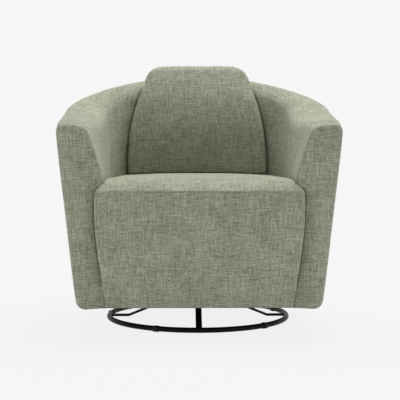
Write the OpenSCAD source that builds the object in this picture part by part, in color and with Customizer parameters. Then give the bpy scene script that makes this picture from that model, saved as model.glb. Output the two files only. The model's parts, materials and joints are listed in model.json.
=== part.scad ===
// Swivel accent chair: an upholstered tub on a steel ring base with a ball-bearing swivel.
// The origin is on the floor, on the swivel axis. The chair faces -Y. Left and right are as
// seen from the front, so right is towards +X.

/* [Body] */
// Height of the upholstery's hem above the floor
body_z = 88; // [86:0.5:94]
// Half the width of the tub, at its widest
tub_half_w = 418; // [404:1:430]
// Distance from the swivel axis to the rear of the tub
tub_back = 400; // [380:1:430]
// Distance from the swivel axis to the arm fronts
arm_front = 370; // [350:1:385]
// How much narrower each side is at the arm fronts
arm_bow = 11; // [0:1:16]
// Height of the arms at the front
arm_h = 610; // [590:1:640]
// Height of the rail at the back
rail_h = 782; // [750:1:800]
// How late the rail starts to rise
rail_sweep = 1.7; // [1.3:0.05:2]
// How far the padding swells above the facings' top seam
rail_swell = 12; // [0:1:16]
// Lean of the outer wall from upright, in degrees
wall_lean = 6.4; // [4:0.1:8]
// Radius of the outer bottom edge
hem_r = 17; // [10:1:22]
// Radius of the outer top edge
rail_r = 26; // [18:1:30]
// Radius of the inner top edge
shoulder_r = 36; // [28:1:42]
// Fall of the rail's top from the outer to the inner edge at the back
rail_fall = 26; // [10:1:34]

/* [Seat well] */
// Width of an arm at the seat
arm_w = 135; // [128:1:148]
// Width of an arm's front at the seat
arm_front_w = 130; // [126:1:141]
// Depth of the back at the seat
back_w = 150; // [140:1:165]
// Squareness of the well's rear corners, where 2 is an ellipse
well_square = 2.6; // [2.2:0.1:3]
// How far the inner wall opens outwards at the arm fronts
mouth_flare = 36; // [20:1:44]
// How far the inner wall leans back behind the sitter
back_flare = 48; // [30:1:60]
// Height at which the inner wall starts to lean
flare_z = 462; // [450:1:480]

/* [Padding] */
// Padding on the outside of the wall
pad_out = 14; // [10:1:16]
// Padding on the inside of the wall
pad_in = 30; // [24:1:32]
// Padding on top of the rail
pad_top = 34; // [28:1:38]
// Thickness of an arm facing
facing_t = 12; // [8:1:14]
// Gap between upholstered pieces
ease = 0.4; // [0.3:0.1:0.8]

/* [Seat] */
// Height of the seat's front seam
seam_z = 427; // [415:1:435]
// Height of the seat beside the arms
seat_side_z = 449; // [444:1:455]
// Height of the seat's crown
seat_crown_z = 461; // [456:1:470]
// Underside of the seat foam
seat_under_z = 345; // [340:1:355]
// How far the front panel laps over an arm at the seam
apron_top_lap = 18; // [11:1:23]
// How far the front panel laps over an arm at its fullest
apron_mid_lap = 20.5; // [13:0.5:25]
// How far the front panel falls short of an arm at the hem
apron_hem_gap = 10; // [3:1:22]
// Height of the front panel's hem
apron_hem_z = 99; // [95:1:110]
// Thickness of the front panel, which stands before the arm facings
apron_t = 30; // [24:1:36]
// Fullness of the front panel
apron_full = 6; // [2:1:10]

/* [Back pad] */
// Top of the raised head
head_z = 822; // [810:1:840]
// Height at which the head starts to round over
neck_z = 750; // [730:1:765]
// Half the width of the back pad at the seat
pad_base_w = 228; // [215:1:235]
// Half the width of the back pad at the neck
pad_neck_w = 176; // [165:1:195]
// Thickness of the back pad at the seat
pad_t = 132; // [125:1:145]
// How far the pad's face leans back from the seat to the head
pad_recline = 112; // [90:1:120]
// Fullness of the pad's face
pad_full = 20; // [10:1:26]
// Squareness of the head's corners, where 2 is an ellipse
head_square = 2.8; // [2.4:0.1:4]

/* [Ring base] */
// Radius of the ring, to the middle of the bar
ring_r = 281; // [260:1:290]
// Diameter of the ring's round bar
ring_d = 16; // [14:1:18]
// Thickness of a glide under and round the ring
glide_t = 1.5; // [1:0.1:2]
// Length of a glide along the ring
glide_l = 16; // [12:1:20]
// Number of glides
glide_n = 5; // [4:1:6]
// Direction of the first glide, from the front towards +X
glide_a0 = 45; // [30:1:50]
// Width of a flat bar
bar_w = 19; // [16:1:22]
// Thickness of a flat bar
bar_t = 6; // [5:0.5:7]
// Bend radius of a flat bar
bar_bend = 14; // [10:1:18]
// Distance from the axis to a bar's outer bend
bar_bend_r = 220; // [200:1:230]
// Distance from the axis to a bar's inner bend
bar_hub_r = 87; // [84:1:95]
// Distance from the axis to a bar's inner end
bar_end_r = 26; // [24:1:28]

/* [Swivel] */
// Underside of the hub plate above the floor
hub_z = 66; // [64:0.5:68]
// Side of the square hub plate
hub_w = 150; // [146:1:160]
// Thickness of the hub plate and the swivel plate
plate_t = 3; // [2.5:0.1:3.2]
// Side of the square swivel plate
swivel_w = 190; // [180:1:200]
// Radius of the ball circle
ball_circle_r = 48; // [46:1:50]
// Diameter of a ball
ball_d = 8; // [7:0.5:8]
// Number of balls
ball_n = 18; // [12:1:20]
// Running clearance round a ball
ball_gap = 0.05; // [0.03:0.01:0.1]
// Width of a race
race_w = 16; // [14:1:17]
// Diameter of the pivot bolt
pivot_d = 12; // [10:1:14]
// Running clearance round the pivot bolt
pivot_gap = 0.05; // [0.03:0.01:0.1]
// Distance between the swivel plate's bolts
bolt_pitch = 152; // [146:1:158]
// Diameter of the swivel plate's bolts
bolt_d = 8; // [6:1:8]

/* [Frame] */
// Thickness of the plywood arm panels
ply_t = 18; // [15:1:20]
// Height of the lower rails
low_rail_h = 70; // [60:1:80]
// Height of the spring rails
spring_rail_h = 62; // [50:1:70]
// Thickness of the boards that carry the swivel plate
mount_t = 24; // [20:1:28]
// Width of the boards that carry the swivel plate
mount_w = 60; // [50:1:66]
// Number of sinuous springs
spring_n = 5; // [4:1:6]
// Distance from the outer springs to the sides of the well
spring_side = 91; // [84:1:100]
// Diameter of the spring wire
wire_d = 4; // [3.5:0.1:4.5]
// Width of a spring's loops
loop_w = 46; // [40:1:52]
// Distance between a spring's cross wires
loop_pitch = 26; // [24:1:30]
// Distance from the ends of the curved back board up to the rail's padding
board_gap = 11.7; // [8:0.1:20]
// Thickness of the dust cover
cloth_t = 1.2; // [1:0.1:2]

/* [Hidden] */
$fn = 48;

FABRIC = [0.56, 0.58, 0.49];
STEEL = [0.10, 0.10, 0.11];
ZINC = [0.72, 0.73, 0.75];
WOOD = [0.78, 0.63, 0.42];
CAMBRIC = [0.12, 0.12, 0.12];
PLASTIC = [0.08, 0.08, 0.08];

lean = tan(wall_lean);
well_half_w = tub_half_w - arm_w;
mouth_half_w = tub_half_w - arm_bow - arm_front_w;
well_back = tub_back - back_w;
apron_top_w = mouth_half_w + apron_top_lap;
apron_mid_w = mouth_half_w + apron_mid_lap;
apron_hem_w = mouth_half_w - apron_hem_gap;
pad_face_y = well_back - pad_t;
swell_run = 90;
pad_y = -(arm_front - facing_t - ease);
frame_z = body_z + 2;
hoop_t = 24;
ring_z = ring_d / 2 + glide_t;
glide_r = ring_z + 0.6;
bar_hub_z = hub_z - bar_t / 2;
hub_top = hub_z + plate_t;
swivel_z = frame_z - plate_t;
ball_z = (hub_top + swivel_z) / 2;
race_gap = 2.4;
race_h = (swivel_z - hub_top - race_gap) / 2;
cage_t = 1.5;
rivet_d = 6;
rivet_head_d = 10;
rivet_head_h = 2.2;
rivet_rs = [(ball_circle_r - race_w / 2 + bar_end_r) / 2, ball_circle_r + race_w / 2 + 10];
washer_t = 2.5;
play = 0.1;
clip_t = 1.2;
hoop_top = seat_under_z - wire_d - clip_t - 2 * ease;
wire_z = hoop_top + wire_d / 2 + 0.05;
inner_hem_z = hoop_top + ease;
rail_back_y = pad_y + ply_t + 2 * ease;
spring_back_y = well_back - 60;
hoop_w = 64;
fit = 1.5;
rim_n = max(pad_out, hem_r) + fit;
post_fit = 3;
board_t = 18;
board_s = 1.38;
back_board_z = top_z(board_s) - fall_at(board_s) - pad_top - board_gap - board_t;
post_t = 22;
post_w = 44;
split_s = 1.25;
split_gap = 0.0008;
post_s = [0.55, 1.2, 1.72];
web_s = [1.86, 2, 2.14];

// Mixes two numbers or two points
function mix(a, b, t) = a + (b - a) * t;
// Keeps a number between 0 and 1
function unit(v) = min(1, max(0, v));
// Rises smoothly from 0 to 1
function smooth(v) = let(u = unit(v)) u * u * (3 - 2 * u);
// A power that keeps the sign, for squared-off ellipses
function spow(v, p) = sign(v) * pow(abs(v), p);
function reversed(v) = [for (i = [len(v) - 1:-1:0]) v[i]];
// Points of a round about c, from angle a to angle b
function round_pts(c, r, a, b, n) = [for (i = [0:n]) let(t = mix(a, b, i / n))
    c + r * [cos(t), sin(t)]];

// Height of the rail's outer edge at the place y
function rail_z(y) = arm_h + rail_swell * smooth((y + arm_front) / swell_run)
    + (rail_h - arm_h - rail_swell)
    * pow(max(0, (y + arm_front) / (tub_back + arm_front)), rail_sweep);

// The wall is a loft through upright sections. A station s runs from 0 at the right arm's
// front, through 1 to 3 round the back, to 4 at the left arm's front.
function on_arm(s) = s < 1 || s > 3;
function arm_t(s) = s < 1 ? s : 4 - s;
function arm_y(s) = mix(pad_y, 0, arm_t(s));
function side(s) = s < 2 ? 1 : -1;
function bend(s) = (s - 1) * 90;

// Outer edge of the wall, in plan
function outer_at(s) = on_arm(s)
    ? [side(s) * (tub_half_w - arm_bow * pow(arm_y(s) / arm_front, 2)), arm_y(s)]
    : [tub_half_w * cos(bend(s)), tub_back * sin(bend(s))];
// Inner face of the wall at the seat, in plan
function well_at(s) = on_arm(s)
    ? [side(s) * mix(mouth_half_w, well_half_w, arm_t(s)), arm_y(s)]
    : [well_half_w * spow(cos(bend(s)), 2 / well_square),
       well_back * spow(sin(bend(s)), 2 / well_square)];
function flare_at(s) = on_arm(s)
    ? mix(mouth_flare, 6, smooth(arm_t(s)))
    : mix(6, back_flare, smooth(sin(bend(s))));
function fall_at(s) = on_arm(s)
    ? mix(3, rail_fall * 0.6, smooth(arm_t(s)))
    : mix(rail_fall * 0.6, rail_fall, sin(bend(s)));
function wall_w(s) = norm(outer_at(s) - well_at(s));
function inward(s) = (well_at(s) - outer_at(s)) / wall_w(s);
function top_z(s) = rail_z(outer_at(s)[1]);
// Distance inwards from the wall's widest edge to its outer face at height z
function face_n(s, z) = (top_z(s) - rail_r - z) * lean;
// Share of the inner face's opening that is reached at height z
function open_at(s, z) = unit((z - flare_z) / (top_z(s) - fall_at(s) - shoulder_r - flare_z));

// A section's outline from its outer hem over the rail to the inner hem, as distance inwards
// and height. The three thicknesses move it inside the wall, where its rounds shrink.
function contour(s, out_t, top_t, in_t, r_out, r_in, full) =
    let(zt = top_z(s) - top_t, zi = zt - fall_at(s), zm = (body_z + zt) / 2,
        ws = wall_w(s) - in_t, wt = ws - flare_at(s),
        slope = atan2(flare_at(s), zi - r_in - flare_z))
    concat(
        out_t == 0
            ? round_pts([face_n(s, body_z + hem_r) + hem_r, body_z + hem_r], hem_r,
                        270, 180 + wall_lean, 4)
            : [for (i = [0:4]) let(z = body_z + i * hem_r / 2)
                [i == 0 ? face_n(s, z + hem_r) + hem_r + 0.6 : face_n(s, z) + out_t, z]],
        [[face_n(s, zm) + out_t - full, zm]],
        round_pts([out_t + r_out, zt - r_out], r_out, 180 + (out_t == 0 ? wall_lean : 0), 90, 4),
        [[mix(out_t + r_out, wt - r_in, 0.5), (zt + zi) / 2 + full]],
        round_pts([wt - r_in, zi - r_in], r_in, 90, slope, 4),
        [[mix(wt, ws, 0.5) + full, mix(zi - r_in, flare_z, 0.5)],
         [mix(wt, ws, 0.9), flare_z + 12],
         [ws, flare_z - 18],
         [ws, inner_hem_z]]);
function skin(s) = contour(s, 0, 0, 0, rail_r, shoulder_r, 2);
function hollow(s) = contour(s, pad_out, pad_top, pad_in, 5, 5, 0);
// A section's points carried to their place in space, and to their place in plan
function place(s, pts) = let(o = outer_at(s), d = inward(s))
    [for (p = pts) [o[0] + d[0] * p[0], o[1] + d[1] * p[0], p[1]]];
function plan_pt(s, n) = outer_at(s) + inward(s) * n;

// Solid through two lists of rows: each row of one list faces its like in the other
module loft(front, back) {
    m = len(front[0]);
    n = 2 * m;
    last = (len(front) - 1) * n;
    polyhedron(
        points = [for (j = [0:len(front) - 1]) each concat(front[j], reversed(back[j]))],
        faces = concat(
            [for (i = [0:m - 2]) each i == 0
                ? [[0, n - 1, 1], [1, n - 1, n - 2]]
                : [[i, n - 1 - i, n - 2 - i], [i, n - 2 - i, i + 1]]],
            [for (j = [0:len(front) - 2], i = [0:n - 1]) let(k = (i + 1) % n, a = j * n, b = a + n)
                each [[a + i, a + k, b + k], [a + i, b + k, b + i]]],
            [for (i = [0:m - 2]) each i == 0
                ? [[last, last + 1, last + n - 1], [last + 1, last + n - 2, last + n - 1]]
                : [[last + i, last + i + 1, last + n - 2 - i],
                   [last + i, last + n - 2 - i, last + n - 1 - i]]]),
        convexity = 6);
}
module wall(stations) {
    loft([for (s = stations) place(s, skin(s))], [for (s = stations) place(s, hollow(s))]);
}
module at_ring(angle) {
    rotate([0, 0, angle - 90]) children();
}
module rounded_plate(w, r, t) {
    linear_extrude(t) {
        square([w, w - 2 * r], center = true);
        square([w - 2 * r, w], center = true);
        for (x = [-1, 1], y = [-1, 1]) translate([x, y] * (w / 2 - r)) circle(r = r);
    }
}

// Base

module base_ring() {
    color(STEEL) translate([0, 0, ring_z]) rotate_extrude($fn = 120)
        translate([ring_r, 0]) circle(d = ring_d);
}
// Each glide is a band open on top, with a flat foot
module ring_glides() {
    turn = glide_l / ring_r * 180 / PI;
    color(PLASTIC) for (i = [0:glide_n - 1]) at_ring(glide_a0 + i * 360 / glide_n)
        translate([0, 0, ring_z]) rotate([0, 0, -turn / 2]) rotate_extrude(angle = turn)
            translate([ring_r, 0]) difference() {
                circle(r = glide_r);
                circle(r = ring_d / 2 + 0.05);
                polygon([[0, 0], [glide_r, glide_r * 1.6], [-glide_r, glide_r * 1.6]]);
                translate([-glide_r, -ring_z - glide_r]) square([2 * glide_r, glide_r]);
            }
}
// Flat bar, bent twice: level at the ring, rising, and level again under the hub plate
module base_bar(angle) {
    h = bar_t / 2;
    rise = atan2(bar_hub_z - ring_z, bar_bend_r - bar_hub_r);
    k = bar_bend * tan(rise / 2);
    r_end = ring_r - ring_d / 2 - 0.2;
    low = [bar_bend_r + k, ring_z + bar_bend];
    high = [bar_hub_r - k, bar_hub_z - bar_bend];
    color(STEEL) difference() {
        at_ring(angle) rotate([90, 0, 0]) linear_extrude(bar_w, center = true) polygon(concat(
            [[r_end, ring_z - h]],
            round_pts(low, bar_bend + h, 270, 270 - rise, 5),
            round_pts(high, bar_bend - h, 90 - rise, 90, 5),
            [[bar_end_r, bar_hub_z - h], [bar_end_r, bar_hub_z + h]],
            round_pts(high, bar_bend + h, 90, 90 - rise, 5),
            round_pts(low, bar_bend - h, 270 - rise, 270, 5),
            [[r_end, ring_z + h]]));
        bar_holes();
    }
}
module base_bar_front() { base_bar(0); }
module base_bar_back() { base_bar(180); }
module base_bar_left() { base_bar(270); }
module base_bar_right() { base_bar(90); }

// Swivel

module hub_plate() {
    color(STEEL) translate([0, 0, hub_z]) difference() {
        rounded_plate(hub_w, 14, plate_t);
        translate([0, 0, -1]) cylinder(r = pivot_d / 2 + pivot_gap, h = plate_t + 2);
        at_rivets() cylinder(r = rivet_d / 2 + pivot_gap, h = 3 * plate_t, center = true);
    }
}
// Two rivets through each bar
module at_rivets() {
    for (i = [0:3], r = rivet_rs) at_ring(i * 90) translate([r, 0, 0]) children();
}
module bar_rivets() {
    color(ZINC) translate([0, 0, hub_z]) at_rivets() {
        translate([0, 0, -bar_t]) cylinder(d = rivet_d, h = bar_t + plate_t);
        translate([0, 0, plate_t]) cylinder(d1 = rivet_head_d, d2 = rivet_d, h = rivet_head_h);
        translate([0, 0, -bar_t - rivet_head_h])
            cylinder(d1 = rivet_d, d2 = rivet_head_d, h = rivet_head_h);
    }
}
module bar_holes() {
    translate([0, 0, hub_z]) at_rivets()
        cylinder(r = rivet_d / 2 + pivot_gap, h = 4 * bar_t, center = true);
}
// Track with a groove in which the balls run
module race() {
    rotate_extrude($fn = 96) difference() {
        translate([ball_circle_r - race_w / 2, 0]) square([race_w, race_h]);
        translate([ball_circle_r, ball_z - hub_top]) circle(r = ball_d / 2 + ball_gap);
    }
}
module lower_race() {
    color(ZINC) translate([0, 0, hub_top]) race();
}
module upper_race() {
    color(ZINC) translate([0, 0, swivel_z]) mirror([0, 0, 1]) race();
}
module at_balls() {
    for (i = [0:ball_n - 1]) rotate([0, 0, (i + 0.5) * 360 / ball_n])
        translate([ball_circle_r, 0, ball_z]) children();
}
module bearing_balls() {
    color(ZINC) at_balls() sphere(d = ball_d, $fn = 32);
}
module ball_retainer() {
    color(WOOD) difference() {
        translate([0, 0, ball_z - cage_t / 2]) difference() {
            cylinder(r = ball_circle_r + race_w / 2 - 1, h = cage_t);
            translate([0, 0, -1]) cylinder(r = ball_circle_r - race_w / 2 + 1, h = cage_t + 2);
        }
        at_balls() cylinder(r = ball_d / 2 + 0.15, h = 3 * cage_t, center = true);
    }
}
module at_plate_bolts() {
    for (x = [-1, 1], y = [-1, 1]) translate([x, y, 0] * bolt_pitch / 2) children();
}
module swivel_plate() {
    color(STEEL) translate([0, 0, swivel_z]) difference() {
        rounded_plate(swivel_w, 16, plate_t);
        translate([0, 0, -1]) cylinder(r = pivot_d / 2 + pivot_gap, h = plate_t + 2);
        at_plate_bolts() translate([0, 0, -1]) cylinder(r = bolt_d / 2 + 0.3, h = plate_t + 2);
    }
}
// King bolt: a low hexagon head under the hub plate
module pivot_bolt() {
    head_h = 7;
    color(ZINC) {
        translate([0, 0, hub_z - head_h]) cylinder(d = 1.7 * pivot_d, h = head_h, $fn = 6);
        translate([0, 0, hub_z - 1])
            cylinder(d = pivot_d, h = frame_z - hub_z + 1 + washer_t + pivot_d + 2);
    }
}
module pivot_washer() {
    color(ZINC) translate([0, 0, frame_z + play]) difference() {
        cylinder(d = 2.2 * pivot_d, h = washer_t);
        translate([0, 0, -1]) cylinder(r = pivot_d / 2 + pivot_gap, h = washer_t + 2);
    }
}
module hex_nut(d, h) {
    difference() {
        cylinder(d = 1.8 * d, h = h, $fn = 6);
        translate([0, 0, -1]) cylinder(r = d / 2 + pivot_gap, h = h + 2);
    }
}
module pivot_nut() {
    color(ZINC) translate([0, 0, frame_z + play + washer_t + ease / 4])
        hex_nut(pivot_d, 0.9 * pivot_d);
}
// Round-headed bolts, up through the swivel plate and the mount rails
module plate_bolts() {
    head_h = 4;
    color(ZINC) at_plate_bolts() {
        translate([0, 0, swivel_z - head_h]) cylinder(d = 1.8 * bolt_d, h = head_h);
        translate([0, 0, swivel_z - 1]) cylinder(d = bolt_d, h = plate_t + mount_t + bolt_d + 4);
    }
}
module plate_nuts() {
    color(ZINC) at_plate_bolts() translate([0, 0, frame_z + mount_t]) hex_nut(bolt_d, 0.8 * bolt_d);
}

// Frame

// Upright board, cut level at both ends, that leans with the outer wall
module post(s, z0, z1) {
    turn = on_arm(s) ? 180 : 180 + atan2(sin(bend(s)) / tub_back, cos(bend(s)) / tub_half_w);
    n = pad_out + post_fit;
    translate(outer_at(s)) rotate([0, 0, turn]) rotate([90, 0, 0])
        linear_extrude(post_w, center = true) polygon([
            [face_n(s, z0) + n, z0], [face_n(s, z0) + n + post_t, z0],
            [face_n(s, z1) + n + post_t, z1], [face_n(s, z1) + n, z1]]);
}
function post_top(s) = s < 1 ? arm_board_z(outer_at(s)[1]) - board_t - 9
    : s < 1.35 ? top_z(s) - fall_at(s) - pad_top - 12 : back_board_z - ease;
module side_post_right() { color(WOOD) post(post_s[0], frame_z + hoop_t, post_top(post_s[0])); }
module corner_post_right() { color(WOOD) post(post_s[1], frame_z + hoop_t, post_top(post_s[1])); }
module back_post_right() { color(WOOD) post(post_s[2], frame_z + hoop_t, post_top(post_s[2])); }
module side_post_left() { mirror([1, 0, 0]) side_post_right(); }
module corner_post_left() { mirror([1, 0, 0]) corner_post_right(); }
module back_post_left() { mirror([1, 0, 0]) back_post_right(); }

// Plywood hoop in plan: the outer edge follows the wall, the inner edge lies hoop_w inside
hoop_s = [for (i = [0:4]) i / 4 * 0.99, for (i = [0:24]) 1 + i / 12,
    for (i = [0:4]) 3.01 + i / 4 * 0.99];
function keep_back(p, y) = [p[0], max(p[1], y)];
function base_inner(s) = face_n(s, frame_z) + rim_n + hoop_w;
function base_edge(grow) =
    [for (s = hoop_s) keep_back(plan_pt(s, base_inner(s) + grow), rail_back_y)];
module base_hoop() {
    color(WOOD) translate([0, 0, frame_z]) linear_extrude(hoop_t) polygon(concat(
        [for (s = hoop_s) keep_back(plan_pt(s, face_n(s, frame_z) + rim_n), rail_back_y)],
        reversed(base_edge(0))));
}
// The seat hoop lies inside the posts, and its rear edge is straight for the springs
module seat_hoop() {
    z = hoop_top - hoop_t;
    color(WOOD) translate([0, 0, z]) linear_extrude(hoop_t) polygon(concat(
        [for (s = hoop_s)
            keep_back(plan_pt(s, face_n(s, z) + pad_out + post_fit + post_t + fit + 0.6), rail_back_y)],
        reversed([for (s = hoop_s) let(p = keep_back(plan_pt(s, wall_w(s) + 20), rail_back_y))
            [p[0], min(p[1], spring_back_y)]])));
}
module front_rails(z, h) {
    translate([-mouth_half_w + ease / 2, -arm_front + ease, z])
        cube([2 * mouth_half_w - ease, rail_back_y + arm_front - 2 * ease, h]);
}
module front_rail() { color(WOOD) front_rails(frame_z, low_rail_h); }
module spring_rail() { color(WOOD) front_rails(hoop_top - spring_rail_h, spring_rail_h); }
// Boards across the base hoop, their ends cut to its curve
module mount_rail(y) {
    difference() {
        translate([0, 0, frame_z]) linear_extrude(mount_t) intersection() {
            translate([-tub_half_w, y - mount_w / 2]) square([2 * tub_half_w, mount_w]);
            polygon(base_edge(ease));
        }
        at_plate_bolts() translate([0, 0, frame_z - 1])
            cylinder(r = bolt_d / 2 + 0.3, h = mount_t + 2);
    }
}
module mount_rail_front() { color(WOOD) mount_rail(-bolt_pitch / 2); }
module mount_rail_back() { color(WOOD) mount_rail(bolt_pitch / 2); }
// Plywood behind each arm facing: it fills the hollow, and reaches in to the rails' ends
module arm_panel_right() {
    h = hollow(0);
    color(WOOD) translate([outer_at(0)[0], pad_y + ply_t + ease, 0]) rotate([90, 0, 0])
        linear_extrude(ply_t) polygon(concat(
            [for (i = [0:len(h) - 2]) let(p = h[i])
                [-p[0] + (i < 11 ? -fit : fit), max(frame_z, p[1] - (i > 5 && i < 17 ? fit : 0))]],
            [[-wall_w(0) + pad_in + fit, hoop_top], [-wall_w(0) + ease, hoop_top],
             [-wall_w(0) + ease, frame_z]]));
}
module arm_panel_left() { mirror([1, 0, 0]) arm_panel_right(); }
// Board on top of each arm, at the slope that the rail has there
arm_board_y = -180;
arm_board_drop = 12;
function rail_slope(y) = atan((rail_z(y + 1) - rail_z(y - 1)) / 2);
function arm_board_z(y) = rail_z(arm_board_y) - pad_top - arm_board_drop
    + (y - arm_board_y) * tan(rail_slope(arm_board_y));
module arm_board_right() {
    w = 36;
    rear_y = 55;
    n = pad_out + 12;
    color(WOOD) translate([outer_at(0)[0] - n, rail_back_y, arm_board_z(rail_back_y)])
        rotate([rail_slope(arm_board_y), 0, 0]) translate([-w, 0, -board_t])
            cube([w, rear_y - rail_back_y, board_t]);
}
module arm_board_left() { mirror([1, 0, 0]) arm_board_right(); }
module back_board() {
    z = back_board_z;
    top = z + board_t;
    color(WOOD) translate([0, 0, z]) linear_extrude(board_t) polygon(concat(
        [for (i = [0:12]) let(s = mix(board_s, 4 - board_s, i / 12))
            plan_pt(s, face_n(s, z) + pad_out + 2 * fit)],
        [for (i = [12:-1:0]) let(s = mix(board_s, 4 - board_s, i / 12))
            plan_pt(s, wall_w(s) - pad_in - flare_at(s) * open_at(s, top) - 2 * fit)]));
}
// Triangular blocks on the base hoop, in the corners behind the front rail
module corner_blocks() {
    leg = 48;
    block_h = 40;
    color(WOOD) for (x = [-1, 1]) scale([x, 1, 1])
        translate([mouth_half_w + 20, rail_back_y + ease / 2, frame_z + hoop_t])
            linear_extrude(block_h) polygon([[0, 0], [0, leg], [-leg, 0]]);
}
// Zigzag spring of round wire: straight cross wires joined by half turns
spring_y0 = -arm_front + 17;
spring_loops = floor((spring_back_y + 10 - spring_y0) / loop_pitch);
spring_x = [for (i = [0:spring_n - 1]) mix(-1, 1, i / (spring_n - 1)) * (well_half_w - spring_side)];
module seat_springs() {
    straight = loop_w - wire_d - loop_pitch;
    color(ZINC) for (x = spring_x) translate([x, spring_y0, wire_z]) {
        for (i = [0:spring_loops]) translate([-straight / 2, i * loop_pitch, 0])
            rotate([0, 90, 0]) cylinder(d = wire_d, h = straight);
        for (i = [0:spring_loops - 1]) let(s = i % 2 == 0 ? 1 : -1)
            translate([s * straight / 2, (i + 0.5) * loop_pitch, 0]) rotate([0, 0, -s * 90])
                rotate_extrude(angle = 180) translate([loop_pitch / 2, 0]) circle(d = wire_d);
    }
}
// A strip bent over the last cross wire of each spring, with a tail on the rail
module spring_clips() {
    r = wire_d / 2 + 0.1;
    color(ZINC) for (x = spring_x, y = [spring_y0, spring_y0 + spring_loops * loop_pitch])
        translate([x - 5, y, 0]) rotate([90, 0, 90]) linear_extrude(10) {
            difference() {
                translate([-r - clip_t, hoop_top])
                    square([2 * (r + clip_t), wire_z + r + clip_t - hoop_top]);
                translate([-r, hoop_top - 1]) square([2 * r, wire_z - hoop_top + 1]);
                translate([0, wire_z]) circle(r = r);
            }
            translate([r, hoop_top]) square([7, clip_t]);
        }
}
// Straps behind the back pad, from the seat hoop to the board above
module back_webbing() {
    strap_w = 36;
    t = 2;
    z0 = hoop_top + ease / 2;
    z1 = back_board_z - ease / 2;
    color(CAMBRIC) for (s = web_s) let(d = inward(s), n0 = wall_w(s) - pad_in - 3,
        n1 = wall_w(s) - pad_in - flare_at(s) * open_at(s, z1) - 4)
        translate(outer_at(s)) rotate([0, 0, atan2(d[1], d[0])]) rotate([90, 0, 0])
            linear_extrude(strap_w, center = true)
                polygon([[n0, z0], [n0, z0 + 1], [n1, z1], [n1 - t, z1], [n0 - t, z0 + 1], [n0 - t, z0]]);
}
module dust_cover() {
    hole = swivel_w + 4;
    color(CAMBRIC) translate([0, 0, frame_z - cloth_t - 0.1]) linear_extrude(cloth_t) difference() {
        polygon([for (s = hoop_s) plan_pt(s, face_n(s, frame_z) + rim_n - fit / 2)]);
        square(hole, center = true);
    }
}

// Upholstery

function steps(a, b, n) = [for (i = [0:n]) mix(a, b, i / n)];
module arm_pad_right() {
    color(FABRIC) wall(concat(steps(0, 1, 7), steps(mix(1, split_s, 1 / 3), split_s, 2)));
}
module arm_pad_left() { mirror([1, 0, 0]) arm_pad_right(); }
module back_pad() { color(FABRIC) wall(steps(split_s + split_gap, 4 - split_s - split_gap, 18)); }
// Flat facing sewn to the front of each arm, down to the hem
module arm_facing_right() {
    s = skin(0);
    color(FABRIC) translate([outer_at(0)[0], pad_y - ease, 0]) rotate([90, 0, 0])
        linear_extrude(facing_t) polygon(concat([for (p = s) [-p[0], p[1]]],
            [[-wall_w(0), body_z]]));
}
module arm_facing_left() { mirror([1, 0, 0]) arm_facing_right(); }

// Half the width of the well at the place y, as far as the seat foam fills it
function well_x(y) = y < 0
    ? mix(mouth_half_w, well_half_w, unit((y - pad_y) / -pad_y)) - ease
    : well_half_w * pow(1 - pow(y / well_back, well_square), 1 / well_square) - ease - 1.2;
apron_y = -arm_front - apron_t;
function front_roll(y) = 1 - pow(1 - unit((y - apron_y) / 60), 2.2);
function seat_edge(y) = mix(seam_z + 2, seat_side_z, front_roll(y));
function seat_mid(y) = mix(seam_z + 2, seat_crown_z, front_roll(y));
function seat_top(x, y) = seat_edge(y)
    + (seat_mid(y) - seat_edge(y)) * (1 - pow(unit(abs(x) / well_x(min(y, 0))), 2.5));
// Height of the slanted joint between the seat and the front panel
function joint_z(y) = seam_z - 24 * (y - apron_y) / apron_t;
// How far the seat's side draws in, at shares of its height
side_draw = [[8, 0], [2, 0.1], [0, 0.32], [0, 0.7], [3, 0.87], [10, 0.97]];
function seat_side(x, y, zb, k) = [for (p = side_draw)
    [k * (x - p[0] * unit((seat_edge(y) - zb) / 60)), y, mix(zb, seat_edge(y), p[1])]];
seat_x = [1, 0.8, 0.6, 0.4, 0.2, 0, -0.2, -0.4, -0.6, -0.8, -1];
function seat_row(x, y, zb) = let(w = x - mix(4, 24, unit((seat_edge(y) - zb) / 60))) concat(
    seat_side(x, y, zb, 1),
    [for (k = seat_x) [k * w, y, seat_top(k * w, y)]],
    reversed(seat_side(x, y, zb, -1)));
function seat_under(x, y, zb) = [for (i = [0:22]) [mix(1, -1, i / 22) * (x - 16), y, zb]];
lip_y = [apron_y + 0.6, apron_y + 3, apron_y + 8, apron_y + 15, apron_y + 23, -arm_front - ease];
seat_rear_gap = 28;
body_y = concat([for (t = [-0.1, 15, 35, 65, 110]) t - arm_front],
    [for (a = [0:10:110]) mix(165 - arm_front, well_back - seat_rear_gap, sin(a * 9 / 11))]);
module seat_cushion() {
    color(FABRIC) loft(
        concat([for (y = lip_y) seat_row(lip_x(y), y, joint_z(y) + ease)],
               [for (y = body_y) seat_row(well_x(y), y, seat_under_z)]),
        concat([for (y = lip_y) seat_under(lip_x(y), y, joint_z(y) + ease)],
               [for (y = body_y) seat_under(well_x(y), y, seat_under_z)]));
}
function lip_x(y) = apron_top_w - 5 * pow(1 - unit((y - apron_y) / 12), 2);

// Half the width of the front panel at height z
function apron_x(z) = let(u = (z - apron_hem_z) / (seam_z - apron_hem_z), k = 0.86)
    mix(apron_hem_w, apron_mid_w, pow(sin(90 * unit(u / k)), 1.25))
    - (apron_mid_w - apron_top_w) * pow(unit((u - k) / (1 - k)), 2);
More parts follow.
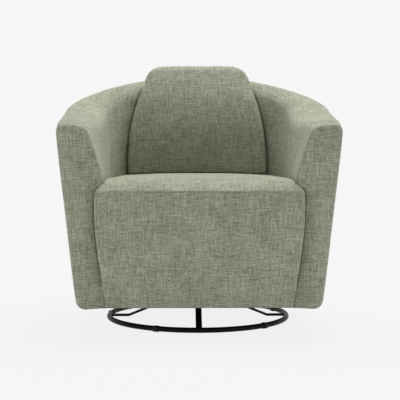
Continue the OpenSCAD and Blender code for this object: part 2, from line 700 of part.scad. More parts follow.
// Shares of half a width at which the crowned faces have their points
function crown_row(w, y0, full, e, z) = concat(
    [[w, y0 + full + e, z], [w - 0.1 * e, y0 + full + e / 2, z], [w - 0.4 * e, y0 + full + e / 6, z]],
    [for (k = seat_x) [k * (w - e), y0 + full * pow(abs(k), 2.4), z]],
    [[-w + 0.4 * e, y0 + full + e / 6, z], [-w + 0.1 * e, y0 + full + e / 2, z],
     [-w, y0 + full + e, z]]);
function on_joint(row, z) = [for (p = row) [p[0], p[1], min(z, joint_z(p[1]))]];
apron_zs = concat([apron_hem_z, apron_hem_z + 6], steps(apron_hem_z + 30, seam_z - 27, 7), [seam_z]);
function apron_draw(z) = 3 * (1 - smooth((z - apron_hem_z) / 12));
module seat_apron() {
    color(FABRIC) loft(
        [for (z = apron_zs)
            on_joint(crown_row(apron_x(z), apron_y + apron_draw(z), apron_full, 8, z), z)],
        [for (z = apron_zs)
            on_joint([for (i = [0:16]) [mix(1, -1, i / 16) * (apron_x(z) - 1), -arm_front - ease, z]], z)]);
}

// Half the width of the back pad at height z
function pad_x(z) = z < neck_z
    ? pad_base_w - (pad_base_w - pad_neck_w) * pow(unit((z - seat_side_z) / (neck_z - seat_side_z)), 2.6)
    : pad_neck_w * pow(1 - pow((z - neck_z) / (head_z - neck_z), head_square), 1 / head_square);
function pad_y_at(z) = pad_face_y
    + pad_recline * pow(unit((z - seat_side_z) / (head_z - seat_side_z)), 1.1);
// Inner face of the wall behind the back pad, at the place x and height z
pad_rear_gap = 3.2;
function behind(x, z) = let(g = unit((z - flare_z) / (rail_h - rail_fall - shoulder_r - flare_z)))
    (well_back + back_flare * g)
    * pow(1 - pow(abs(x) / (well_half_w + back_flare * 0.4 * g), well_square), 1 / well_square)
    - pad_rear_gap;
head_r = 24;
function head_turn(z) = let(q = unit((z - head_z + head_r) / head_r)) head_r * (1 - sqrt(1 - q * q));
function pad_fade(z) = mix(0.6, 1, smooth((z - seat_side_z) / 120))
    - 0.4 * smooth((z - neck_z) / (head_z - neck_z));
function pad_front(z, w) = let(y = pad_y_at(z) + head_turn(z), full = pad_full * pad_fade(z),
    room = behind(w, z) - head_turn(z) - y - full) crown_row(w, y, full, min(30, room / 2), z);
function pad_rear(z, w) = [for (i = [0:16]) let(x = mix(1, -1, i / 16) * (w - 3))
    [x, behind(x, z) - head_turn(z), z]];
function on_seat(row) = [for (p = row) [p[0], p[1], seat_top(p[0], 0) + 2 * ease]];
pad_low_z = seat_crown_z + 30;
pad_zs = concat(steps(pad_low_z, neck_z, 8),
    [for (a = [12:12:84]) neck_z + (head_z - neck_z) * pow(sin(a), 2 / head_square)]);
module back_cushion() {
    color(FABRIC) loft(
        concat([on_seat(pad_front(seat_crown_z, pad_base_w))], [for (z = pad_zs) pad_front(z, pad_x(z))]),
        concat([on_seat(pad_rear(seat_crown_z, pad_base_w))], [for (z = pad_zs) pad_rear(z, pad_x(z))]));
}

base_ring();
ring_glides();
base_bar_front();
base_bar_back();
base_bar_left();
base_bar_right();
hub_plate();
bar_rivets();
lower_race();
pivot_bolt();
pivot_washer();
pivot_nut();
bearing_balls();
ball_retainer();
upper_race();
swivel_plate();
plate_bolts();
plate_nuts();
mount_rail_front();
mount_rail_back();
front_rail();
spring_rail();
base_hoop();
seat_hoop();
arm_panel_left();
arm_panel_right();
arm_board_left();
arm_board_right();
side_post_left();
side_post_right();
corner_post_left();
corner_post_right();
back_post_left();
back_post_right();
back_board();
corner_blocks();
seat_springs();
spring_clips();
back_webbing();
seat_cushion();
seat_apron();
back_cushion();
arm_pad_left();
arm_pad_right();
back_pad();
arm_facing_left();
arm_facing_right();
dust_cover();
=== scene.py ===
import json
import math

import bmesh
import bpy
import numpy as np
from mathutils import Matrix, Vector, noise

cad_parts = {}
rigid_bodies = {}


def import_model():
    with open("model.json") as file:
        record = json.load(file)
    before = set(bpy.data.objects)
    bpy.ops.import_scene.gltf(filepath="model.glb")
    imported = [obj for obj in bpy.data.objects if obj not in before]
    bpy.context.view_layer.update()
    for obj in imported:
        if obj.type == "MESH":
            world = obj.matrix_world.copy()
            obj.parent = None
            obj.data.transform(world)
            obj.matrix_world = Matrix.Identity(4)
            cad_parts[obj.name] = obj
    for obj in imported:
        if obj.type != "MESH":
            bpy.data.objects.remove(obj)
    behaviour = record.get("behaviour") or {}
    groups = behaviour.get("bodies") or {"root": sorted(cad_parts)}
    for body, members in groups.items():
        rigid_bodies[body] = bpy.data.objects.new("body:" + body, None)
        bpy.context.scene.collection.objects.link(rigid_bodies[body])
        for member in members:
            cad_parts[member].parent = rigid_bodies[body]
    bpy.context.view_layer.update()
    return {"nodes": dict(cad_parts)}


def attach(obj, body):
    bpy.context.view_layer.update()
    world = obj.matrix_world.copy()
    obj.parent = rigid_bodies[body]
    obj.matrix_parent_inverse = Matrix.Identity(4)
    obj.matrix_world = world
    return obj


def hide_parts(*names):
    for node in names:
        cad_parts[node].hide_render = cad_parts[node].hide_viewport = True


for leftover in list(bpy.data.objects):
    bpy.data.objects.remove(leftover)
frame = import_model()
nodes = frame["nodes"]

# The ring: one round steel bar rolled into a hoop and butt-welded, and powder-coated black
# together with the four bars. The coat has a fine orange peel and a soft satin sheen.
ring_r = 281
ring_d = 16
glide_t = 1.5
ring_z = ring_d / 2 + glide_t


def new_finish(name, numbers):
    """A new material, with plain numbers set on its shader"""
    finish = bpy.data.materials.new(name)
    finish.use_nodes = True
    shader = finish.node_tree.nodes["Principled BSDF"]
    for socket, number in numbers.items():
        shader.inputs[socket].default_value = number
    return finish, finish.node_tree, shader


def node(tree, kind, wires, **settings):
    """First output of a new node, with numbers or other outputs on its sockets"""
    made = tree.nodes.new("ShaderNode" + kind)
    for setting, value in settings.items():
        setattr(made, setting, value)
    for socket, value in wires.items():
        if isinstance(value, bpy.types.NodeSocket):
            tree.links.new(value, made.inputs[socket])
        else:
            made.inputs[socket].default_value = value
    return made.outputs[0]


def colours(tree, factor, *stops):
    """Colour that goes through the stops as the factor rises"""
    made = tree.nodes.new("ShaderNodeValToRGB")
    tree.links.new(factor, made.inputs[0])
    elements = made.color_ramp.elements
    elements[0].position, elements[-1].position = stops[0][0], stops[-1][0]
    elements[0].color, elements[-1].color = (*stops[0][1], 1), (*stops[-1][1], 1)
    for at, colour in stops[1:-1]:
        elements.new(at).color = (*colour, 1)
    return made.outputs[0]


def between(tree, factor, low, high):
    """Number that goes from low to high as the factor goes from 0.3 to 0.7"""
    return node(tree, "MapRange", {0: factor, 1: 0.3, 2: 0.7, 3: low, 4: high})


def surface_place(tree):
    return tree.nodes.new("ShaderNodeTexCoord").outputs["Object"]


def cloud(tree, place, scale, detail, rough=0.5, bend=0.0):
    """Noise with about so many features to the metre"""
    return node(tree, "TexNoise", {"Vector": place, "Scale": scale, "Detail": detail, "Roughness": rough,
                                   "Distortion": bend})


def wire_up(tree, shader, colour, rough, height, depth, strength=1.0):
    """Leads colour, roughness and relief to the shader; the relief's depth is in metres"""
    relief = node(tree, "Bump", {"Strength": strength, "Distance": depth, "Height": height})
    for output, socket in ((colour, "Base Color"), (rough, "Roughness"), (relief, "Normal")):
        if output is not None:
            tree.links.new(output, shader.inputs[socket])


def powder_coat():
    coat, tree, shader = new_finish("black_powder_coat", {"Specular IOR Level": 0.06})
    place = surface_place(tree)
    scuffs = cloud(tree, place, 220, 6, 0.75)
    colour = colours(tree, scuffs, (0.0, (0.006, 0.006, 0.0065)), (0.64, (0.008, 0.008, 0.0085)),
                     (0.82, (0.03, 0.03, 0.029)))
    handling = between(tree, cloud(tree, place, 16, 5, 0.6), 0.3, 0.44)
    wire_up(tree, shader, colour, handling, cloud(tree, place, 950, 1.5), 0.00006)
    return coat


black_coat = powder_coat()


def dress(name, finish, ease=0.0):
    """Gives a frame part its finish, smooth rounds and edges eased by so many millimetres"""
    part = nodes[name]
    mesh = part.data
    if "custom_normal" in mesh.attributes:
        mesh.attributes.remove(mesh.attributes["custom_normal"])
    mesh.shade_smooth()
    mesh.materials.clear()
    mesh.materials.append(finish)
    joined = part.modifiers.new("Joined facets", "WELD")
    joined.merge_threshold = 0.00001
    if ease:
        eased = part.modifiers.new("Eased edges", "BEVEL")
        eased.width = ease / 1000
        eased.segments = 2
        eased.limit_method = "ANGLE"
        eased.angle_limit = math.radians(32)
    crisp = part.modifiers.new("Crisp edges", "EDGE_SPLIT")
    crisp.split_angle = math.radians(38)
    return part


dress("base_ring", black_coat)

# The welds: a rippled bead runs round each bar's end where it meets the ring, and one round the
# ring where its own ends meet. They were laid before the coat, so they have its colour.
bar_w = 19
bar_t = 6
bead_r = 1.7


def ring_faces(rows, count, closed):
    """Faces between rings of points; closed says whether the last ring joins the first"""
    index = np.arange(rows * count).reshape(rows, count)
    beside = np.roll(index, -1, axis=1)
    faces = np.stack([index, beside, np.roll(beside, -1, axis=0), np.roll(index, -1, axis=0)], axis=-1)
    return faces[:rows if closed else rows - 1].reshape(-1, 4).tolist()


def tube(path, radius, sides=8):
    """Points and faces of a closed tube along a closed path, with a radius for each point"""
    ahead = np.roll(path, -1, axis=0) - np.roll(path, 1, axis=0)
    ahead /= np.linalg.norm(ahead, axis=1)[:, None]
    out = path - path.mean(axis=0)
    out -= (out * ahead).sum(axis=1)[:, None] * ahead
    out /= np.linalg.norm(out, axis=1)[:, None]
    up = np.cross(ahead, out)
    turn = (np.arange(sides) * 2 * math.pi / sides)[None, :, None]
    round_it = np.cos(turn) * out[:, None] + np.sin(turn) * up[:, None]
    points = path[:, None] + radius[:, None, None] * round_it
    return points.reshape(-1, 3), ring_faces(len(path), sides, True)


def new_piece(name, points, faces, finish, body, slot):
    """A piece of the chair from points in millimetres, riding on a body of the frame"""
    mesh = bpy.data.meshes.new(name)
    mesh.from_pydata((np.asarray(points) / 1000).tolist(), [], faces)
    skin = bmesh.new()
    skin.from_mesh(mesh)
    bmesh.ops.recalc_face_normals(skin, faces=skin.faces[:])
    skin.to_mesh(mesh)
    skin.free()
    mesh.shade_smooth()
    mesh.materials.append(finish)
    piece = bpy.data.objects.new(name, mesh)
    bpy.context.scene.collection.objects.link(piece)
    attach(piece, body)
    return piece


def joined(parts):
    """Many sets of points and faces as one"""
    points, faces, start = [], [], 0
    for part_points, part_faces in parts:
        points.append(part_points)
        faces += [[start + i for i in face] for face in part_faces]
        start += len(part_points)
    return np.vstack(points), faces


def bead(corner_path):
    """Bead along a closed path, its thickness going up and down with the welder's steps"""
    step = np.arange(len(corner_path))
    return tube(corner_path, bead_r * (1 + 0.13 * np.sin(step * 2.1) + 0.05 * np.sin(step * 0.73)))


def bar_bead(angle):
    """Path round a bar's end, on the inside of the ring"""
    turn = np.linspace(0, 2 * math.pi, 72, endpoint=False)
    across = np.sign(np.cos(turn)) * np.abs(np.cos(turn)) ** 0.35 * (bar_w / 2 + 0.5)
    height = np.sign(np.sin(turn)) * np.abs(np.sin(turn)) ** 0.6 * (bar_t / 2 + 0.7)
    inside = ring_r - np.sqrt((ring_d / 2) ** 2 - height ** 2) - across ** 2 / (2 * ring_r) - 0.3
    side = np.array([math.cos(angle), math.sin(angle)])
    out = np.array([math.sin(angle), -math.cos(angle)])
    flat = out[None] * inside[:, None] + side[None] * across[:, None]
    return bead(np.column_stack([flat, ring_z + height]))


def ring_bead(angle):
    turn = np.linspace(0, 2 * math.pi, 48, endpoint=False)
    out = np.array([math.sin(angle), -math.cos(angle)])
    flat = out[None] * (ring_r + (ring_d / 2 - 0.9) * np.cos(turn))[:, None]
    return bead(np.column_stack([flat, ring_z + (ring_d / 2 - 0.9) * np.sin(turn)]))


beads = [bar_bead(i * math.pi / 2) for i in range(4)] + [ring_bead(math.radians(160))]
new_piece("weld_beads", *joined(beads), black_coat, "base", "black_steel")

# The four flat bars: mild steel strip, bent twice in a press so that it rises from the ring to
# the hub, with eased edges and the same black coat as the ring.
for bar in ("base_bar_front", "base_bar_back", "base_bar_left", "base_bar_right"):
    dress(bar, black_coat, 0.7)


# The glides: black nylon sleeves pushed up over the ring from below. They are moulded with a
# fine matt grain, and are a little scratched and dusty from the floor.
def glide_nylon():
    nylon, tree, shader = new_finish("glide_nylon", {"Specular IOR Level": 0.2})
    place = surface_place(tree)
    scratches = cloud(tree, place, 340, 6, bend=1.2)
    colour = colours(tree, scratches, (0.0, (0.008, 0.008, 0.008)), (0.6, (0.012, 0.012, 0.012)),
                     (0.85, (0.06, 0.058, 0.055)))
    grain = node(tree, "TexVoronoi", {"Vector": place, "Scale": 1400})
    wire_up(tree, shader, colour, between(tree, scratches, 0.5, 0.68), grain, 0.00012)
    return nylon


dress("ring_glides", glide_nylon(), 0.3)


# The swivel: two pressed plates with ball tracks between them, held by a king bolt. Tracks,
# rivets, bolts and nuts are zinc-plated, the two plates are coated black.
def zinc_plate(name, tint, rough_low, rough_high):
    plate, tree, shader = new_finish(name, {"Metallic": 1.0})
    place = surface_place(tree)
    dark, pale = ([min(1, share * c) for c in tint] for share in (0.72, 1.12))
    colour = colours(tree, cloud(tree, place, 55, 5), (0.25, dark), (0.55, tint), (0.8, pale))
    spangle = node(tree, "TexVoronoi", {"Vector": place, "Scale": 260})
    rough = node(tree, "MapRange", {0: spangle, 1: 0.0, 2: 0.6, 3: rough_low, 4: rough_high})
    wire_up(tree, shader, colour, rough, cloud(tree, place, 1800, 1), 0.00002)
    return plate


bright_zinc = zinc_plate("bright_zinc", (0.60, 0.61, 0.63), 0.24, 0.40)
ball_steel = zinc_plate("ball_steel", (0.66, 0.67, 0.69), 0.07, 0.13)
for plate in ("hub_plate", "swivel_plate"):
    dress(plate, black_coat, 0.5)
for race in ("lower_race", "upper_race"):
    dress(race, bright_zinc, 0.25)
for fastener in ("bar_rivets", "pivot_bolt", "pivot_washer", "pivot_nut", "plate_bolts", "plate_nuts"):
    dress(fastener, bright_zinc, 0.3)


# The balls run between the tracks in a flat retainer of natural nylon, punched with one hole for
# each ball. The nylon is milky and slightly yellow, with a thin film of grease on it.
def retainer_nylon():
    nylon, tree, shader = new_finish(
        "retainer_nylon", {"Specular IOR Level": 0.5, "Subsurface Weight": 0.15, "Subsurface Scale": 0.002})
    grease = cloud(tree, surface_place(tree), 90, 4)
    colour = colours(tree, grease, (0.3, (0.62, 0.56, 0.42)), (0.7, (0.74, 0.69, 0.57)))
    wire_up(tree, shader, colour, between(tree, grease, 0.22, 0.5), grease, 0.0001)
    return nylon


dress("bearing_balls", ball_steel)
dress("ball_retainer", retainer_nylon(), 0.2)


# The frame: beech rails and posts, and hoops and panels cut from plywood. It is left raw,
# with straight grain along each board.
def maths(tree, operation, *values):
    return node(tree, "Math", dict(enumerate(values)), operation=operation)


def raw_timber(name, along, pale, dark):
    """Timber with its grain along one axis of the chair: 0 across, 1 front to back, 2 upright"""
    timber, tree, shader = new_finish(name, {"Specular IOR Level": 0.3})
    squeeze = [26.0, 26.0, 26.0]
    squeeze[along] = 1.6
    place = node(tree, "Mapping", {"Vector": surface_place(tree), "Scale": squeeze})
    figure = maths(tree, "ADD", cloud(tree, place, 2.2, 3, bend=0.6), cloud(tree, place, 0.35, 2))
    grain = maths(tree, "PINGPONG", maths(tree, "MULTIPLY", figure, 5.0), 2.0)
    pores = cloud(tree, place, 38, 3, 0.7)
    tone = maths(tree, "ADD", maths(tree, "MULTIPLY", grain, 0.42), maths(tree, "MULTIPLY", pores, 0.3))
    middle = tuple((a + b) / 2 for a, b in zip(pale, dark))
    colour = colours(tree, tone, (0.1, dark), (0.45, middle), (0.95, pale))
    wire_up(tree, shader, colour, between(tree, pores, 0.62, 0.8), pores, 0.00025)
    return timber


beech = ((0.64, 0.45, 0.28), (0.46, 0.29, 0.16))
plywood = ((0.68, 0.52, 0.34), (0.52, 0.36, 0.21))
for timber_name, along, tones, rounded, boards in (
        ("beech_across", 0, beech, 1.0, ("mount_rail_front", "mount_rail_back", "front_rail", "spring_rail")),
        ("beech_deep", 1, beech, 1.0, ("arm_board_left", "arm_board_right")),
        ("beech_upright", 2, beech, 1.0, ("side_post_left", "side_post_right", "corner_post_left",
                                          "corner_post_right", "back_post_left", "back_post_right",
                                          "corner_blocks")),
        ("plywood_across", 0, plywood, 0.6, ("base_hoop", "seat_hoop", "back_board")),
        ("plywood_upright", 2, plywood, 0.6, ("arm_panel_left", "arm_panel_right"))):
    timber_finish = raw_timber(timber_name, along, *tones)
    for board in boards:
        dress(board, timber_finish, rounded)


# The springs: zigzag wire springs, tempered to a blue-black with a film of oil, hooked under
# bent strip clips on the rails.
def tempered_wire():
    wire, tree, shader = new_finish("tempered_wire", {"Metallic": 1.0})
    oil = cloud(tree, surface_place(tree), 70, 5)
    colour = colours(tree, oil, (0.3, (0.07, 0.08, 0.11)), (0.55, (0.12, 0.12, 0.14)),
                     (0.75, (0.20, 0.16, 0.12)))
    wire_up(tree, shader, colour, between(tree, oil, 0.26, 0.48), oil, 0.00005)
    return wire


dress("seat_springs", tempered_wire())
dress("spring_clips", bright_zinc, 0.15)

# The tub's cover: woven cloth over wadding, pulled over the frame from the outer hem across the
# rail and down inside. Seams run down behind each arm, and a blind-stitched one under the rail.
body_z = 88
hem_z = 85
inner_hem_z = 339.6
hem_r = 17
cover_hem_r = 27
tub_half_w = 418
tub_back = 400
arm_front = 370
arm_bow = 11
arm_h = 610
rail_h = 779.5
rail_sweep = 1.78
rail_swell = 16
swell_run = 90
lean_angle = 6.4
lean = math.tan(math.radians(lean_angle))
arm_rail_r = 17
side_rail_r = 21
rail_r = 26
shoulder_r = 36
side_shoulder_r = 50
back_shoulder_r = 60
front_fall = 3
rail_fall = 26
cover_side_fall = 11
cover_back_fall = 6.5
well_half_w = 283
mouth_half_w = 277
well_back = 250
well_square = 2.6
mouth_flare = 36
side_flare = 6
back_flare = 48
flare_z = 462
pad_out = 14
pad_in = 30
pad_top = 34
facing_t = 12
ease = 0.4
pad_y = -(arm_front - facing_t - ease)
seam_s = (1.25, 2.75)
groove_s = ((1.38, 1.72), (2.28, 2.62))


def unit(v):
    return min(1.0, max(0.0, v))


def smooth(v):
    u = unit(v)
    return u * u * (3 - 2 * u)


def mix(a, b, t):
    return a + (b - a) * t


def sharp_power(v, p):
    return math.copysign(abs(v) ** p, v)


def rail_z(y):
    """Height of the rail's outer edge at the place y"""
    back = max(0.0, (y + arm_front) / (tub_back + arm_front))
    swell = rail_swell * smooth((y + arm_front) / swell_run)
    return arm_h + swell + (rail_h - arm_h - rail_swell) * back ** rail_sweep


def on_arm(s):
    """Whether s is beside the seat; s goes round the tub from the right arm's front, 0 to 4"""
    return s < 1 or s > 3


def arm_t(s):
    """Share of the way along an arm, from its front"""
    return s if s < 1 else 4 - s


def back_t(s):
    """How far behind s is: 0 at the end of an arm, 1 in the middle of the back"""
    return math.sin(math.radians((s - 1) * 90))


def outer_at(s):
    """Outer edge of the wall, in plan"""
    if on_arm(s):
        y = mix(pad_y, 0, arm_t(s))
        return np.array([(1 if s < 2 else -1) * (tub_half_w - arm_bow * (y / arm_front) ** 2), y])
    a = math.radians((s - 1) * 90)
    return np.array([tub_half_w * math.cos(a), tub_back * math.sin(a)])


def well_at(s):
    """Inner face of the wall at the seat, in plan"""
    if on_arm(s):
        x = mix(mouth_half_w, well_half_w, arm_t(s))
        return np.array([x if s < 2 else -x, mix(pad_y, 0, arm_t(s))])
    a = math.radians((s - 1) * 90)
    return np.array([well_half_w * sharp_power(math.cos(a), 2 / well_square),
                     well_back * sharp_power(math.sin(a), 2 / well_square)])


def softly(s, front, side, back):
    """A measure that goes from an arm's front to its end, and on to the middle of the back"""
    return mix(front, side, smooth(arm_t(s))) if on_arm(s) else mix(side, back, smooth(back_t(s)))


def flare_at(s):
    """How much wider the tub is at the rail's inner edge than at the seat"""
    return softly(s, mouth_flare, side_flare, back_flare)


def fall_at(s, side, back):
    """How much lower the rail is at its inner edge, with values for beside the seat and behind"""
    return mix(front_fall, side, smooth(arm_t(s))) if on_arm(s) else mix(side, back, back_t(s))


def wall_w(s):
    return float(np.linalg.norm(outer_at(s) - well_at(s)))


def face_n(s, z):
    """Distance inwards from the wall's widest edge to its outer face at height z"""
    return (rail_z(outer_at(s)[1]) - rail_r - z) * lean


def rail_round(s):
    """Radius of the rail's outer edge, tighter along the arms than behind"""
    if on_arm(s):
        return mix(arm_rail_r, rail_r, smooth(arm_t(s) - 0.4))
    return mix(side_rail_r, rail_r, smooth(back_t(s)))


def round_points(centre, r, a, b):
    """Five points round a centre, from angle a to angle b"""
    turn = np.radians(np.linspace(a, b, 5))
    return [[centre[0] + r * math.cos(t), centre[1] + r * math.sin(t)] for t in turn]


def contour(s, out_t, top_t, in_t, r_out, r_in, full):
    """A section of the wall from the outer hem over the rail to the inner hem. It lies so far
    inside the outer face, top and inner face, and full is how much it bulges between its edges."""
    cover = out_t == 0
    falls = (cover_side_fall, cover_back_fall) if cover else (0.6 * rail_fall, rail_fall)
    zt = rail_z(outer_at(s)[1]) - top_t
    zi = zt - fall_at(s, *falls)
    zm = (body_z + zt) / 2
    ws = wall_w(s) - in_t
    wt = ws - flare_at(s)
    slope = math.degrees(math.atan2(flare_at(s), zi - r_in - flare_z))
    tilt, outer_angle = 0, 180
    if cover:
        outer_angle += lean_angle
        foot = hem_z + cover_hem_r
        points = round_points([face_n(s, foot) + cover_hem_r, foot], cover_hem_r, 270, outer_angle)
        over, down = wt - r_in - r_out, zt - zi + r_in - r_out
        tilt = math.degrees(math.atan2(down, over) - math.asin((r_in - r_out) / math.hypot(over, down)))
    else:
        points = [[face_n(s, body_z + hem_r) + hem_r + 0.6, body_z]]
        points += [[face_n(s, z) + out_t, z] for z in (body_z + i * hem_r / 2 for i in range(1, 5))]
    points += [[face_n(s, zm) + out_t - full, zm]]
    points += round_points([out_t + r_out, zt - r_out], r_out, outer_angle, 90 - tilt)
    inner_round = round_points([wt - r_in, zi - r_in], r_in, 90 - tilt, slope)
    outer_end, inner_start = points[-1], inner_round[0]
    points += [[mix(outer_end[0], inner_start[0], 0.5), mix(outer_end[1], inner_start[1], 0.5) + full]]
    points += inner_round
    points += [[mix(wt, ws, 0.5) + full, mix(zi - r_in, flare_z, 0.5)], [mix(wt, ws, 0.9), flare_z + 12],
               [ws, flare_z - 18], [ws, inner_hem_z]]
    return np.array(points)


def curve_through(points, marks):
    """Smooth curve through points, read at marks that count the points"""
    p = np.asarray(points, float)
    p = np.vstack([2 * p[0] - p[1], p, 2 * p[-1] - p[-2]])
    t = np.concatenate([[0], np.cumsum(np.linalg.norm(np.diff(p, axis=0), axis=1) ** 0.5)])
    i = np.clip(np.asarray(marks, float).astype(int), 0, len(p) - 4)
    at = (t[i + 1] + (t[i + 2] - t[i + 1]) * (np.asarray(marks) - i))[:, None]
    a, b, c, d = (t[i + k][:, None] for k in range(4))
    pa, pb, pc, pd = p[i], p[i + 1], p[i + 2], p[i + 3]
    ab = pa * (b - at) / (b - a) + pb * (at - a) / (b - a)
    bc = pb * (c - at) / (c - b) + pc * (at - b) / (c - b)
    cd = pc * (d - at) / (d - c) + pd * (at - c) / (d - c)
    abc = ab * (c - at) / (c - a) + bc * (at - a) / (c - a)
    bcd = bc * (d - at) / (d - b) + cd * (at - b) / (d - b)
    return abc * (c - at) / (c - b) + bcd * (at - b) / (c - b)


def marks_for(points, pitch, fine=()):
    """Marks along a row of points about one pitch apart, with more of them round the fine places"""
    marks = []
    for i, gap in enumerate(np.linalg.norm(np.diff(points, axis=0), axis=1)):
        cuts = max(2 if gap > pitch / 2 else 1, int(round(gap / pitch)))
        marks += [i + k / cuts for k in range(cuts)]
    marks.append(len(points) - 1)
    for at, gap, offsets in fine:
        marks = [m for m in marks if abs(m - at) * gap > max(offsets) * 1.3] + [at + o / gap for o in offsets]
    return np.array(sorted(marks))


def lengths(points):
    return np.concatenate([[0], np.cumsum(np.linalg.norm(np.diff(points, axis=0), axis=1))])


def outwards(grid, row, column, way):
    """Unit normals of a grid of points, turned so that the one at row and column points the way"""
    normal = np.cross(np.gradient(grid, axis=0), np.gradient(grid, axis=1))
    normal = normal / np.maximum(np.linalg.norm(normal, axis=2), 1e-9)[:, :, None]
    return normal if normal[row, column] @ np.array(way) > 0 else -normal


def ripple(points, size, seed):
    """Soft noise from -1 to 1 at points in millimetres, its features about as large as size"""
    flat = np.asarray(points).reshape(-1, 3) / size
    values = [noise.noise(Vector((x + seed, y - seed, z + 2 * seed))) for x, y, z in flat]
    return np.array(values).reshape(np.asarray(points).shape[:-1])


def swells(points, *waves):
    """Soft swellings of the cloth, from waves that each have a height, a size and a seed"""
    return sum(height * ripple(points, size, seed) for height, size, seed in waves)


def puckers(points, stretch, height, size, seed):
    """Small creases, drawn out along the ways in which stretch is small"""
    return height * ripple(points * np.array(stretch), size, seed)


# The back pad's edge presses a groove into the inside of the tub
head_z = 813.5
neck_z = 750
pad_base_w = 228
pad_neck_w = 176
seat_side_z = 452
groove_depth = 13
groove_w = 5
groove_top = 690
head_line = curve_through([[pad_neck_w, neck_z], [174.5, 766], [169, 780], [160, 794], [147, 804], [132, 810],
                           [114, 812.8], [96, head_z]], np.linspace(0, 7, 25))


def pad_x(z):
    """Half the width of the back pad at height z"""
    if z < neck_z:
        narrowing = unit((z - seat_side_z) / (neck_z - seat_side_z)) ** 2.6
        return pad_base_w - (pad_base_w - pad_neck_w) * narrowing
    return float(np.interp(z, head_line[:, 1], head_line[:, 0]))


# Places along the wall, closer together at the seams, the groove and the arm fronts
pitch = 9.5
around = np.linspace(0, 4, 4001)
outer_run = lengths(np.array([outer_at(s) for s in around]))
inner_run = lengths(np.array([well_at(s) for s in around]))
seam_runs = np.interp(seam_s, around, outer_run)
spots = np.arange(0, outer_run[-1] + 1, outer_run[-1] / round(outer_run[-1] / pitch))
seam_steps = np.array([-11, -7, -4, -2.4, -1.2, 0, 1.2, 2.4, 4, 7, 11])
front_steps = np.array([0, 0.5, 1.3, 2.4, 4, 6.5, 10])
for seam_run in seam_runs:
    spots = np.concatenate([spots[np.abs(spots - seam_run) > 15], seam_run + seam_steps])
for first, last in np.interp(groove_s, around, outer_run):
    spots = np.concatenate([spots[(spots < first - 3) | (spots > last + 3)], np.arange(first, last + 1, 5.0)])
spots = spots[(spots > 14) & (spots < outer_run[-1] - 14)]
spots = np.sort(np.concatenate([front_steps, spots, outer_run[-1] - front_steps]))
stations = np.clip(np.interp(spots, outer_run, around), 0, 4)

# Places across the wall, closer together at the stitched line under the rail
rail_mark = 6
line_mark = rail_mark - 0.02
line_steps = (-7, -4, -2, -0.9, 0, 0.9, 2, 4, 6)
hollow_r = 5
sample = contour(1.6, 0, 0, 0, rail_r, shoulder_r, 1)
line_gap = np.linalg.norm(sample[rail_mark] - sample[rail_mark - 1])
skin_marks = marks_for(sample, pitch, [(line_mark, line_gap, line_steps)])


def stood_up(s, section):
    """A section of the wall at its place along the tub"""
    o = outer_at(s)
    d = (well_at(s) - o) / wall_w(s)
    return np.column_stack([o[0] + d[0] * section[:, 0], o[1] + d[1] * section[:, 0], section[:, 1]])


skin_rows, hollow_rows = [], []
for s in stations:
    shoulder = softly(s, shoulder_r, side_shoulder_r, back_shoulder_r)
    skin = curve_through(contour(s, 0, 0, 0, rail_round(s), shoulder, 1), skin_marks)
    rough = contour(s, pad_out, pad_top, pad_in, hollow_r, hollow_r, 0)
    hollow = np.column_stack([np.interp(skin_marks, range(len(rough)), rough[:, i]) for i in (0, 1)])
    skin_rows.append(stood_up(s, skin))
    hollow_rows.append(stood_up(s, hollow))
skin_grid, hollow_grid = np.array(skin_rows), np.array(hollow_rows)
skin_out = outwards(skin_grid, len(stations) // 2, 40, (0, 1, 0))

# How far the cloth stands proud of the plain form: swellings, then the upright seams with
# puckers across them, the blind-stitched line, the pad's groove and the rolled front edge
proud = swells(skin_grid, (1.1, 190, 3.1), (0.35, 62, 8.4))
seam_off = np.min(np.abs(spots[:, None] - seam_runs[None]), axis=1)
seam_depth = np.interp(skin_marks, [0, 5, 6, 10, 20], [1, 1, 0.8, 0.16, 0.1])
valley = -2.4 * np.exp(-(seam_off / 1.7) ** 2) + 1.0 * np.exp(-((seam_off - 9) / 7) ** 2)
seam_puckers = puckers(skin_grid, (0.3, 0.3, 1), 0.5, 11, 5.5) * np.exp(-seam_off / 13)[:, None]
proud += (valley[:, None] + seam_puckers) * seam_depth[None]
line_off = (skin_marks - line_mark) * line_gap
line_far = np.where(skin_marks < rail_mark, line_off, line_off / 3)
blind = -1.5 * np.exp(-(line_far / 1.3) ** 2) + 0.5 * np.exp(-((np.abs(line_far) - 6) / 5) ** 2)
ends = np.minimum(spots, outer_run[-1] - spots)
proud += blind[None] * np.interp(ends, [0, 30], [0.3, 1])[:, None]
proud += puckers(skin_grid, (1, 1, 0.25), 0.45, 16, 2.2) * np.exp(-np.abs(line_far) / 16)[None]
beside_pad = np.abs(skin_grid[:, :, 0]) - np.vectorize(pad_x)(skin_grid[:, :, 2]) + 1
pressed = (1 - np.clip((skin_grid[:, :, 2] - groove_top) / 60, 0, 1)) * (skin_marks > 9)[None] * (
    skin_grid[:, :, 1] > 0)
proud -= groove_depth * np.exp(-(beside_pad / groove_w) ** 2) * pressed
front_lip = np.interp(skin_marks, [7, 9, 16, 19, 20], [0, 1, 1, 0.8, 0.8])
roll = np.sqrt(np.clip(1 - (1 - ends / 3) ** 2, 0, 1)) * (ends < 3) + (ends >= 3) * np.exp(-(ends - 3) / 16)
proud += 1.7 * roll[:, None] * front_lip[None]
skin_grid = skin_grid + skin_out * proud[:, :, None]


